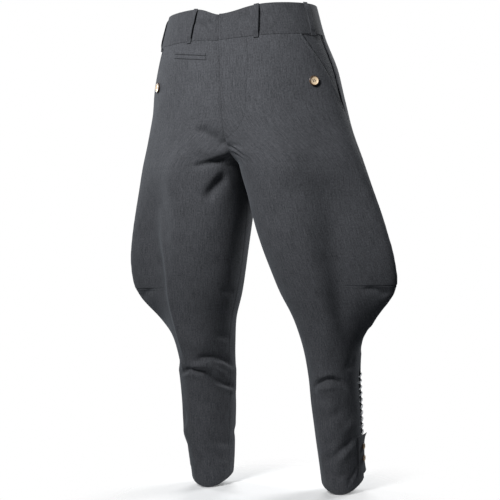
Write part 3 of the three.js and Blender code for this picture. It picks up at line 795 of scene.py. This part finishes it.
def cotton_braid(name):
    """White braided cotton: two sets of strands cross round the cord."""
    finish = Finish(name, Sheen_Weight=0.2, Specular_IOR_Level=0.3)
    around, along, place = finish.cloth_place()
    right = ((around * 4 + along * 420) * TURN).sine()
    left = ((around * 4 - along * 420) * TURN).sine()
    fuzz = finish.noise(finish.stretch(place, 30, 4000, 1), 1.0, 3.0)
    strands = right * left
    finish.feed("Base Color", finish.mix(
        strands * 0.25 + fuzz * 0.5 + 0.25, (0.82, 0.84, 0.87), (0.97, 0.98, 0.99)))
    finish.feed("Roughness", 0.75 + fuzz * 0.15)
    finish.bump(strands * 0.6 + fuzz * 0.5, 0.5, 0.00025)
    return finish.material


CLOTH_DARK, CLOTH_LIGHT = (0.029, 0.0301, 0.0339), (0.084, 0.0868, 0.0961)
TWILL = twill("wool_twill", CLOTH_DARK, CLOTH_LIGHT)
BAND_PAINTED_SHADE = 0.86  # the same twill with its colours darkened for the band and belt loops: painted shade, standing in for less light on the band
BAND_TWILL_PAINTED_DARKER = twill(
    "band_twill", [c * BAND_PAINTED_SHADE for c in CLOTH_DARK], [c * BAND_PAINTED_SHADE for c in CLOTH_LIGHT])
THREAD = thread("dark_thread", (0.035, 0.04, 0.045))
HORN = horn("horn", 0.8)
HORN_BROWN = horn("small_horn", 0.9)
BRAID = cotton_braid("cotton_braid")


# ---- Fronts, backs and hip pieces

def slit_half(drop):
    opened = smooth(SLIT_TOP_DROP, LACE_TOP_DROP, drop) * (
        1 - smooth(LACE_BOTTOM_DROP, SLIT_END_DROP, drop))
    return SEWN_GAP / 2 + (SLIT_HALF_WIDTH - SEWN_GAP / 2) * opened


def pocket_angle(drop):
    t = (drop - SEAM_DROP) / (POCKET_END_DROP - SEAM_DROP)
    return np.minimum(0, POCKET_ANGLE * (1 - t))


def seam_angle(drop):
    return slit_half(drop) * radians_per_mm(0 * drop, drop)


def centre_angle(drop):
    wrap = section(drop)["wrap"]
    closed = drop >= FORK_DROP - GAP
    return np.where(closed, wrap - SEWN_GAP / 2 * radians_per_mm(wrap, drop), wrap)


def panel_drops():
    """The rows of a front or a back, closer at the fork, the dart and the eyelets."""
    near_fork = FORK_DROP - 0.35 * np.arange(1, 16) ** 1.7
    beside = np.array([0.4, 0.9, 1.6, 2.6, 4, 6])
    near_dart = DART_DROP + 2 + np.concatenate([-beside[::-1], [0], beside])
    laced = np.arange(SLIT_TOP_DROP, TAB["top"] + 8, 1.25)
    plain = spread_places(SEAM_DROP + SEAM_GAP, HEM_DROP, 3, near_fork)
    plain = [d for d in plain if not laced[0] - 1 < d < laced[-1] + 1]
    plain = [d for d in plain if not near_dart[0] - 1 < d < near_dart[-1] + 1]
    drops = np.unique(np.concatenate([plain, laced, near_dart, [FORK_DROP]]))
    return drops[np.concatenate([[True], np.diff(drops) > 0.15])]


def eyelet_places(sign):
    phase = 0 if sign > 0 else 0.5
    drops = [LACE_TOP_DROP + (turn + phase) * LACE_PITCH for turn in range(LACE_TURNS)]
    return [(sign * EYELET_REACH, drop) for drop in drops]


PANEL_COLUMNS = 92


def seam_pucker(drop, distance, phase):
    """The small waves that stitching draws up beside a long seam."""
    wave = np.sin(drop / 3.1 + phase) + 0.7 * np.sin(drop / 5.3 + 1.7 * phase)
    return 0.16 * wave * np.exp(-(distance / 7) ** 2)


FLY_STITCH = [
    (-71.5, 64), (-72, 100), (-73.5, 132), (-75, 166), (-76.5, 192), (-78.5, 210), (-82, 222), (-86, 232),
    (-90, 240), (-96, 247), (-102, 252), (-108, 256), (-114, 258),
]


def fly_edge(half, from_centre):
    """The lapping edge is thick with turnings, and the front under it is pressed in beside it."""
    if half == LEFT:
        return 1.3 * np.exp(-(from_centre / 4) ** 4)
    return -3 * np.exp(-(from_centre / 3) ** 2) - 3.2 * np.exp(-(from_centre / 12) ** 2)


def make_front(half):
    drops = panel_drops()

    def face(drop, angle, from_centre, from_side):
        pocket = 1 - smooth(POCKET_END_DROP - 8, POCKET_END_DROP, drop)
        groove = -1.1 * pocket * np.exp(-((from_side - POCKET_STITCH) / 1) ** 2)
        puff = 1.1 * pocket * np.exp(-((from_side - POCKET_STITCH / 2) / 2.4) ** 2)
        side = seam_pucker(drop, from_side, 0.4 * half) * (1 - pocket)
        below = smooth(FLY_END_DROP, FLY_END_DROP + 30, drop)
        lap = fly_edge(half, from_centre) * (1 - below)
        if half == LEFT:
            distance, _, _ = path_distance(FLY_STITCH, angle, drop)
            lap = lap - 0.45 * np.exp(-(distance / 1.3) ** 2)
        return groove + puff + side + lap + seam_pucker(drop, from_centre, 1.1) * below

    piece = patch(
        f"front_cloth_{SIDES[half]}", half, drops, -centre_angle(drops),
        np.minimum(pocket_angle(drops), -seam_angle(drops)), PANEL_COLUMNS, CLOTH, TWILL,
        face=face, parted=True, holes_at=eyelet_places(-1), rounded=(0.9, 0.9, 0.4, 1),
        seam_dip=(0, 0.35, 0.12, 0), grain=-QUARTER,
    )
    stand_for(f"front_{SIDES[half]}")


def make_back(half):
    drops = panel_drops()

    def face(drop, angle, from_side, from_centre):
        return seam_pucker(drop, from_side, 0.4 * half) + seam_pucker(drop, from_centre, 1.1)

    piece = patch(
        f"back_cloth_{SIDES[half]}", half, drops, seam_angle(drops), centre_angle(drops),
        PANEL_COLUMNS, CLOTH, TWILL, face=face, parted=True, holes_at=eyelet_places(1),
        rounded=(0.9, 0.9, 0.4, 1), seam_dip=(0.35, 0.35, 0.12, 0), grain=QUARTER,
    )
    stand_for(f"back_{SIDES[half]}")


def make_hip(half):
    drops = spread_places(SEAM_DROP + SEAM_GAP, POCKET_END_DROP + 8, 3)

    def face(drop, angle, from_pocket, from_side):
        return seam_pucker(drop, from_side, 0.4 * half) - CLOTH - POCKET_DEPTH

    piece = patch(
        f"hip_cloth_{SIDES[half]}", half, drops, pocket_angle(drops) - POCKET_UNDERLAP,
        -seam_angle(drops), 26, CLOTH, TWILL, face=face, rounded=(0.9, 0.9, 0.7, 0.9), grain=0,
    )
    stand_for(f"hip_{SIDES[half]}")


# ---- Waistband and belt loops

def make_waistband(half):
    drops = spread_places(0, SEAM_DROP, 2.4, extra=(0.5, 1.2, 2))
    ends = np.full(len(drops), QUARTER)

    def face(drop, angle, from_front, from_back):
        rib = -0.14 * np.exp(-((drop - 3.2) / 1.2) ** 2)
        return rib + fly_edge(half, from_front)

    piece = patch(
        f"waistband_cloth_{SIDES[half]}", half, drops, -ends, ends, 190, BAND_CLOTH, BAND_TWILL_PAINTED_DARKER,
        face=face, parted=True, rounded=(1, 1, 1.3, 0.4), seam_dip=(0, 0.2, 0, 0), grain=0,
    )
    stand_for(f"waistband_{SIDES[half]}")


def make_loop(name, half, middle, lean=0.0):
    known, stands = zip(*LOOP_ROWS)
    drops = spread_places(known[0], known[-1], 1.4)
    middle = middle + lean * (drops / SEAM_DROP - 0.5)
    reach = LOOP_WIDTH / 2 * radians_per_mm(middle, drops)

    def face(drop, angle, start, stop):
        stand = np.interp(drop, known, stands)
        across = np.minimum(start, stop)
        groove = 0.25 * np.exp(-((across - 2) / 0.5) ** 2)
        return LOOP_CLOTH + 2 * GAP + (LOOP_STAND - 2 * GAP) * stand - groove

    piece = patch(
        f"{name}_cloth", half, drops, middle - reach, middle + reach, 15, LOOP_CLOTH, BAND_TWILL_PAINTED_DARKER,
        face=face, rounded=(0.75, 0.75, 0.75, 0.75), grain=middle[0],
    )
    stand_for(name)


# ---- Stitching

class Stitches:
    """Many small stitches that are joined in one mesh."""

    SIDES = 6

    def __init__(self):
        self.points = []
        self.faces = []

    def stitch(self, start, end, radius):
        along = unit(end - start)
        other = unit(np.cross(along, [0.31, 0.52, 0.79]))
        third = np.cross(along, other)
        length = np.linalg.norm(end - start)
        base = len(self.points)
        for place, thick in ((0, 0.35), (0.16, 0.9), (0.5, 1.05), (0.84, 0.9), (1, 0.35)):
            for k in range(self.SIDES):
                turn = TURN * k / self.SIDES
                round_it = other * math.cos(turn) + third * math.sin(turn)
                self.points.append(start + along * length * place + round_it * radius * thick)
        for ring in range(4):
            for k in range(self.SIDES):
                a = base + ring * self.SIDES + k
                b = base + ring * self.SIDES + (k + 1) % self.SIDES
                self.faces.append((a, b, b + self.SIDES, a + self.SIDES))
        self.faces.append(tuple(base + k for k in reversed(range(self.SIDES))))
        self.faces.append(tuple(base + 4 * self.SIDES + k for k in range(self.SIDES)))

    def line(self, points, pitch=2.9 * MM, gap=0.55 * MM, radius=0.26 * MM):
        """Stitches along a line of points."""
        steps = np.linalg.norm(np.diff(points, axis=0), axis=1)
        lengths = np.concatenate([[0], np.cumsum(steps)])

        def at(length):
            return np.array([np.interp(length, lengths, points[:, k]) for k in range(3)])

        count = max(1, int(lengths[-1] / pitch))
        step = lengths[-1] / count
        for k in range(count):
            self.stitch(at(k * step), at((k + 1) * step - gap), radius)

    def make(self, name, material):
        piece = add_object(name, mesh_from(name, self.points, self.faces), material)


def surface_line(half, places, lift, samples=120):
    """A line of points over the cloth through (angle, drop) places in degrees and millimetres."""
    places = np.array(places, float)
    t = np.linspace(0, len(places) - 1, samples)
    angle = np.radians(np.interp(t, range(len(places)), places[:, 0]))
    drop = np.interp(t, range(len(places)), places[:, 1])
    return cloth_point(half, angle, drop, lift)


def make_front_stitching(half):
    side = SIDES[half]
    stitches = Stitches()
    drops = np.linspace(SEAM_DROP + 3, POCKET_END_DROP - 4, 80)
    inset = POCKET_STITCH * radians_per_mm(pocket_angle(drops), drops)
    stitches.line(cloth_point(half, pocket_angle(drops) - inset, drops, -0.45))
    if half == LEFT:
        stitches.line(surface_line(half, FLY_STITCH, 0.02))
        stitches.line(surface_line(half, [(-80, 180), (-82.5, 184)], 0.12), pitch=1.2 * MM, gap=0.2 * MM)
    bar_tack(stitches, half, -3.2, POCKET_END_DROP - 3, 8)
    stitches.make(f"front_stitching_{side}", THREAD)


def bar_tack(stitches, half, angle_degrees, drop, length):
    """A short dense bar of stitches across the cloth."""
    angle = math.radians(angle_degrees)
    scale = float(radians_per_mm(np.array(angle), np.array(float(drop))))
    for k in range(int(length / 0.55)):
        lateral = (k * 0.55 - length / 2) * scale
        ends = cloth_point(half, np.full(2, angle + lateral), np.array([drop - 0.9, drop + 0.9]), 0.12)
        stitches.stitch(ends[0], ends[1], 0.27 * MM)


# ---- Watch pocket

def make_welt(name, drop):
    slope = (WELT_TO[1] - WELT_FROM[1]) / (WELT_FROM[0] - WELT_TO[0])
    drops = spread_places(drop - WELT_HEIGHT / 2, drop + WELT_HEIGHT / 2, 0.8)
    ends = np.ones(len(drops))
    piece = patch(
        f"{name}_cloth", RIGHT, drops, ends * WELT_TO[0], ends * WELT_FROM[0], 60, WELT_CLOTH, TWILL,
        face=lambda drop, angle, start, stop: np.full(drop.shape, WELT_CLOTH + 0.2),
        slant=lambda angle: slope * (WELT_FROM[0] - angle), rounded=(1.6, 1.6, 1.6, 1.6), grain=0,
    )
    stand_for(name)


# ---- Buttons

BUTTON_PROFILE = [
    (0, 0), (0.8, 0), (0.93, 0.1), (0.99, 0.34), (1, 0.55), (0.985, 0.76), (0.94, 0.92), (0.87, 1),
    (0.8, 0.97), (0.75, 0.86), (0.7, 0.74), (0.6, 0.66), (0.45, 0.6), (0.25, 0.58), (0, 0.58),
]
BUTTON_SEGMENTS = 56
HOLE_PLACE = 0.25
HOLE_RADIUS = 0.105


def button_blank(name, radius, height):
    """A turned button with a raised rim and a dish, before it is drilled."""
    points = [(0, 0, 0)]
    faces = []
    rings = BUTTON_PROFILE[1:-1]
    for across, up in rings:
        for k in range(BUTTON_SEGMENTS):
            turn = TURN * k / BUTTON_SEGMENTS
            reach = radius * across
            points.append((reach * math.cos(turn), reach * math.sin(turn), height * up))
    top = len(points)
    points.append((0, 0, height * BUTTON_PROFILE[-1][1]))
    for k in range(BUTTON_SEGMENTS):
        after = (k + 1) % BUTTON_SEGMENTS
        faces.append((0, 1 + after, 1 + k))
        for ring in range(len(rings) - 1):
            a, b = 1 + ring * BUTTON_SEGMENTS + k, 1 + ring * BUTTON_SEGMENTS + after
            faces.append((a, b, b + BUTTON_SEGMENTS, a + BUTTON_SEGMENTS))
        last = 1 + (len(rings) - 1) * BUTTON_SEGMENTS
        faces.append((last + k, last + after, top))
    return place_in_scene(name + "_blank", mesh_from(name, points, faces))


def button_mesh(name, radius, height):
    """A button with four thread holes."""
    button = button_blank(name, radius, height)
    drills = [drill(radius, height, k) for k in range(4)]
    for tool in drills:
        modifier = button.modifiers.new("hole", "BOOLEAN")
        modifier.object = tool
        modifier.solver = "EXACT"
    bpy.context.view_layer.update()
    pierced = bpy.data.meshes.new_from_object(button.evaluated_get(bpy.context.evaluated_depsgraph_get()))
    for tool in drills + [button]:
        bpy.data.objects.remove(tool)
    places = np.empty(len(pierced.vertices) * 3)
    pierced.vertices.foreach_get("co", places)
    x, y, _ = places.reshape(-1, 3).T
    put_uvs(pierced, np.stack([np.hypot(x, y) / radius, np.arctan2(y, x)], 1))
    return pierced


def drill(radius, height, k):
    """The round tool that cuts one of the four holes."""
    turn = QUARTER * (k + 0.5)
    points, faces = [], []
    segments = 14
    for up in (-height, 2 * height):
        for j in range(segments):
            a = TURN * j / segments
            points.append((
                radius * (HOLE_PLACE * math.cos(turn) + HOLE_RADIUS * math.cos(a)),
                radius * (HOLE_PLACE * math.sin(turn) + HOLE_RADIUS * math.sin(a)), up,
            ))
    for j in range(segments):
        after = (j + 1) % segments
        faces.append((j, after, segments + after, segments + j))
    faces.append(tuple(reversed(range(segments))))
    faces.append(tuple(range(segments, 2 * segments)))
    return place_in_scene("drill", mesh_from("drill", points, faces))


def button_matrix(half, angle, drop, lift, turned):
    """Where a button lies on the cloth, and how it is turned."""
    place = cloth_point(half, np.array(angle), np.array(float(drop)), lift)
    around, down, out = cloth_axes(half, np.array(angle), np.array(float(drop)))
    if half == RIGHT:
        around = -around
    matrix = Matrix([(around[k], -down[k], out[k], place[k]) for k in range(3)] + [(0, 0, 0, 1)])
    return matrix @ Matrix.Rotation(turned, 4, "Z")


def make_button(name, half, angle, drop, lift, size, material, turned=0.0):
    radius, height = size["radius"] * MM, size["height"] * MM
    mesh = button_mesh(name, radius, height)
    matrix = button_matrix(half, angle, drop, lift, turned)
    mesh.transform(matrix)
    piece = add_object(f"{name}_horn", mesh, material)
    stand_for(name)
    sew_button(name, matrix, radius, height)


def sew_button(name, matrix, radius, height):
    """Two threads over each pair of holes."""
    stitches = Stitches()
    reach = HOLE_PLACE * radius * math.sqrt(0.5)
    for x in (-reach, reach):
        for shift in (-0.0003, 0.0003):
            ends = [matrix @ Vector((x + shift, y, height * 0.62)) for y in (-reach, reach)]
            stitches.stitch(np.array(ends[0]), np.array(ends[1]), 0.34 * MM)
    stitches.make(f"{name}_thread", THREAD)


# ---- Calf: tongue, lace, eyelets, tab and its buttons

def make_tongue(half):
    lateral, depths = zip(*TONGUE_COLUMNS)
    drops = spread_places(*TONGUE_DROPS, 3)
    edge = lateral[-1] * radians_per_mm(0 * drops, drops)
    piece = patch(
        f"calf_tongue_cloth_{SIDES[half]}", half, drops, -edge, edge, 40, CLOTH, TWILL,
        face=lambda drop, angle, start, stop: -np.interp(start + lateral[0], lateral, depths),
        rounded=(0.9, 0.9, 0.9, 0.9), grain=0,
    )
    stand_for(f"calf_tongue_{SIDES[half]}")


def catmull_rom(points, samples):
    """A smooth line through points, even from one to the next."""
    points = np.asarray(points)
    ends = np.concatenate([[2 * points[0] - points[1]], points, [2 * points[-1] - points[-2]]])
    result = []
    for k in range(len(points) - 1):
        a, b, c, d = ends[k:k + 4]
        for t in np.arange(samples) / samples:
            result.append(0.5 * (2 * b + (c - a) * t + (2 * a - 5 * b + 4 * c - d) * t * t
                                 + (3 * b - a - 3 * c + d) * t ** 3))
    result.append(points[-1])
    return np.array(result)


def lace_line(half):
    """The lace's middle line, from eyelet to eyelet over and under the slit's edges."""
    places = [
        (reach * EYELET_REACH, LACE_TOP_DROP + (turn + down) * LACE_PITCH, out)
        for turn in range(LACE_TURNS) for reach, down, out in LACE_TURN
    ]
    lateral, drop, out = np.array(places).T
    return catmull_rom(cloth_point(half, lateral * radians_per_mm(0 * drop, drop), drop, out), 9)


LACE_SIDES = 10
LACE_RIBS = 2600  # radians of the braid's ribs in each metre of lace


def make_lace(half):
    line = lace_line(half)
    along = unit(np.gradient(line, axis=0))
    lengths = np.concatenate([[0], np.cumsum(np.linalg.norm(np.diff(line, axis=0), axis=1))])
    sides = LACE_SIDES
    first = unit(np.cross(along[0], [0, 0, 1]))
    points, uvs = [], []
    for k, (centre, ahead) in enumerate(zip(line, along)):
        first = unit(first - ahead * np.dot(first, ahead))
        second = np.cross(ahead, first)
        thin = 0.55 if k in (0, len(line) - 1) else 1
        for j in range(sides):
            turn = TURN * j / sides
            twist = lengths[k] * LACE_RIBS
            ribs = 1 + 0.05 * math.sin(4 * turn + twist) * math.sin(4 * turn - twist)
            radius = LACE_RADIUS * MM * ribs * thin
            points.append(centre + (first * math.cos(turn) + second * math.sin(turn)) * radius)
            uvs.append((j / sides, lengths[k]))
    faces = [tuple(reversed(range(sides)))]
    for ring in range(0, (len(line) - 1) * sides, sides):
        for j in range(sides):
            after = (j + 1) % sides
            faces.append((ring + j, ring + after, ring + sides + after, ring + sides + j))
    faces.append(tuple((len(line) - 1) * sides + j for j in range(sides)))
    piece = add_object(f"calf_lace_braid_{SIDES[half]}", mesh_from("lace", points, faces, uvs), BRAID)
    stand_for(f"calf_lace_{SIDES[half]}")


def make_eyelets(half):
    """Each hole in the slit's edges is worked round with close stitches."""
    stitches = Stitches()
    for sign in (1, -1):
        for lateral, drop in eyelet_places(sign):
            for k in range(EYELET_STITCHES):
                turn = TURN * k / EYELET_STITCHES
                ends = []
                for reach in (EYELET_RADIUS - 0.35, EYELET_RADIUS + 1.1):
                    down = drop + reach * math.sin(turn)
                    scale = float(radians_per_mm(np.array(0.0), np.array(down)))
                    angle = (lateral + reach * math.cos(turn)) * scale
                    ends.append(cloth_point(half, np.array(angle), np.array(down), 0.05))
                stitches.stitch(ends[0], ends[1], 0.33 * MM)
    stitches.make(f"eyelet_stitching_{SIDES[half]}", THREAD)


def tab_lift(drop, share):
    top = TAB["flare"] * np.exp(-(drop - TAB["top"]) / 9)
    foot = 0.4 * TAB["flare"] * np.exp(-(TAB["bottom"] - drop) / 10)
    return TAB["cloth"] + TAB["rest"] + (top + foot) * share ** 2


TAB_WIDTH = TAB["front"] + TAB["back"]
TAB_INSET = 2.6  # of the stitching from the tab's edges


def make_tab(half):
    drops = spread_places(TAB["top"], TAB["bottom"], 1.5)
    scale = radians_per_mm(0 * drops, drops)

    def face(drop, angle, start, stop):
        inset = np.minimum(np.minimum(start, stop), np.minimum(drop - TAB["top"], TAB["bottom"] - drop))
        groove = 0.35 * np.exp(-((inset - TAB_INSET) / 0.6) ** 2)
        return tab_lift(drop, np.clip(start / TAB_WIDTH, 0, 1)) - groove

    side = SIDES[half]
    piece = patch(
        f"ankle_tab_cloth_{side}", half, drops, -TAB["front"] * scale, TAB["back"] * scale, 34,
        TAB["cloth"], TWILL, face=face, rounded=(0.9, 0.9, 0.9, 0.9), grain=0,
    )
    stand_for(f"ankle_tab_{side}")


def stitch_tab(half):
    stitches = Stitches()
    left, right = -TAB["front"] + TAB_INSET, TAB["back"] - TAB_INSET
    top, bottom = TAB["top"] + TAB_INSET, TAB["bottom"] - TAB_INSET
    corners = [(left, top), (right, top), (right, bottom), (left, bottom), (left, top)]
    for (x_a, y_a), (x_b, y_b) in zip(corners, corners[1:]):
        t = np.linspace(0, 1, 40)
        lateral, drop = x_a + (x_b - x_a) * t, y_a + (y_b - y_a) * t
        lift = tab_lift(drop, (lateral + TAB["front"]) / TAB_WIDTH) - 0.2
        angle = lateral * radians_per_mm(0 * drop, drop)
        stitches.line(cloth_point(half, angle, drop, lift))
    stitches.make(f"ankle_tab_stitching_{SIDES[half]}", THREAD)


def make_ankle_buttons(half):
    for drop, level in zip(ANKLE_BUTTON["drops"], ("upper", "lower")):
        angle = ANKLE_BUTTON["lateral"] * float(radians_per_mm(np.array(0.0), np.array(float(drop))))
        make_button(f"ankle_button_{SIDES[half]}_{level}", half, angle, drop,
                    TAB["cloth"] + TAB["rest"] + 3 * GAP, ANKLE_BUTTON, HORN_BROWN)


# ---- Floor and light

FLOOR_HEIGHT = -0.9645
FLOOR_SIZE = 8
FLOOR_SOLID = 0.05  # the radius inside which the floor is whole; beyond it fades into the backdrop
FLOOR_FADE = 0.42


def make_floor():
    finish = Finish("studio_floor", Roughness=0.9, Specular_IOR_Level=0.1)
    place = finish.add("ShaderNodeTexCoord", {}, output=3)
    shade = finish.noise(place, 3.0)
    finish.feed("Base Color", finish.mix(shade, (0.85, 0.855, 0.86), (0.88, 0.885, 0.89)))
    away = finish.add("ShaderNodeVectorMath", {"operation": "LENGTH"}, place, output=1)
    finish.feed("Alpha", finish.add(
        "ShaderNodeMapRange", {"interpolation_type": "SMOOTHSTEP"},
        away, FLOOR_SOLID, FLOOR_FADE, 1.0, 0.0,
    ))
    half = FLOOR_SIZE / 2
    corners = [(x, y, 0) for x, y in ((-half, -half), (half, -half), (half, half), (-half, half))]
    mesh = mesh_from("floor", corners, [(0, 1, 2, 3)])
    mesh.materials.append(finish.material)
    floor = place_in_scene("floor", mesh)
    floor.location.z = FLOOR_HEIGHT


def make_light(name, place, target, size, power, colour, spread):
    data = bpy.data.lights.new(name, "AREA")
    data.size = size
    data.energy = power
    data.color = colour
    data.spread = spread
    light = place_in_scene(name, data)
    light.location = place
    light.rotation_euler = (target - place).to_track_quat("-Z", "Y").to_euler()


FILL_STRENGTH = 0.1
FILL_COLOUR = (0.86, 0.93, 1, 1)


def make_world():
    """A white backdrop that lights the cloth only softly."""
    world = bpy.data.worlds.new("studio")
    bpy.context.scene.world = world
    world.use_nodes = True
    tree = world.node_tree
    seen = tree.nodes["Background"]
    seen.inputs["Color"].default_value = (1, 1, 1, 1)
    lit = tree.nodes.new("ShaderNodeBackground")
    lit.inputs["Color"].default_value = FILL_COLOUR
    lit.inputs["Strength"].default_value = FILL_STRENGTH
    path = tree.nodes.new("ShaderNodeLightPath")
    mix = tree.nodes.new("ShaderNodeMixShader")
    tree.links.new(path.outputs["Is Camera Ray"], mix.inputs[0])
    tree.links.new(lit.outputs[0], mix.inputs[1])
    tree.links.new(seen.outputs[0], mix.inputs[2])
    tree.links.new(mix.outputs[0], tree.nodes["World Output"].inputs["Surface"])


# Each light: its azimuth, 0 in front and positive to the wearer's left, its elevation, both in
# degrees, its distance from the place that it is aimed at, that place's height, its size, power
# and colour, and how widely it fans out, in degrees
LIGHTS = {
    "key": (-10, 30, 1.85, -0.2, 0.45, 7.3, (1, 1, 1), 66),
    "rim": (-110, 15, 2.3, -0.35, 0.5, 18, (0.94, 0.97, 1), 180),
    "back_left": (150, 22, 1.8, -0.2, 0.8, 8, (1, 1, 1), 90),
    "back_right": (-158, 22, 1.8, -0.2, 0.8, 8, (1, 1, 1), 90),
}


def make_studio():
    make_floor()
    make_world()
    for name, (azimuth, elevation, distance, height, size, power, colour, spread) in LIGHTS.items():
        turn, rise = math.radians(azimuth), math.radians(elevation)
        level = math.cos(rise)
        towards = Vector((math.sin(turn) * level, -math.cos(turn) * level, math.sin(rise)))
        aim = Vector((0, 0, height))
        make_light(name, aim + distance * towards, aim, size, power, colour, math.radians(spread))
    bpy.context.scene.view_settings.view_transform = "Standard"


# ---- The whole

make_camera()
for side in (LEFT, RIGHT):
    make_front(side)
    make_back(side)
    make_hip(side)
    make_waistband(side)
    make_loop(f"belt_loop_front_{SIDES[side]}", side, LOOP_ANGLE[side], LOOP_LEAN[side])
    make_loop(f"belt_loop_side_{SIDES[side]}", side, SIDE_LOOP_ANGLE[side])
    make_front_stitching(side)
    make_button(f"pocket_button_{SIDES[side]}", side, POCKET_BUTTON["angle"], POCKET_BUTTON_DROP[side],
                2 * GAP, POCKET_BUTTON, HORN, turned=0.3)
    make_tongue(side)
    make_lace(side)
    make_eyelets(side)
    make_tab(side)
    stitch_tab(side)
    make_ankle_buttons(side)
make_loop("belt_loop_back", LEFT, QUARTER)
make_welt("watch_welt_upper", WELT_FROM[1] - WELT_SPACING / 2)
make_welt("watch_welt_lower", WELT_FROM[1] + WELT_SPACING / 2)
make_studio()
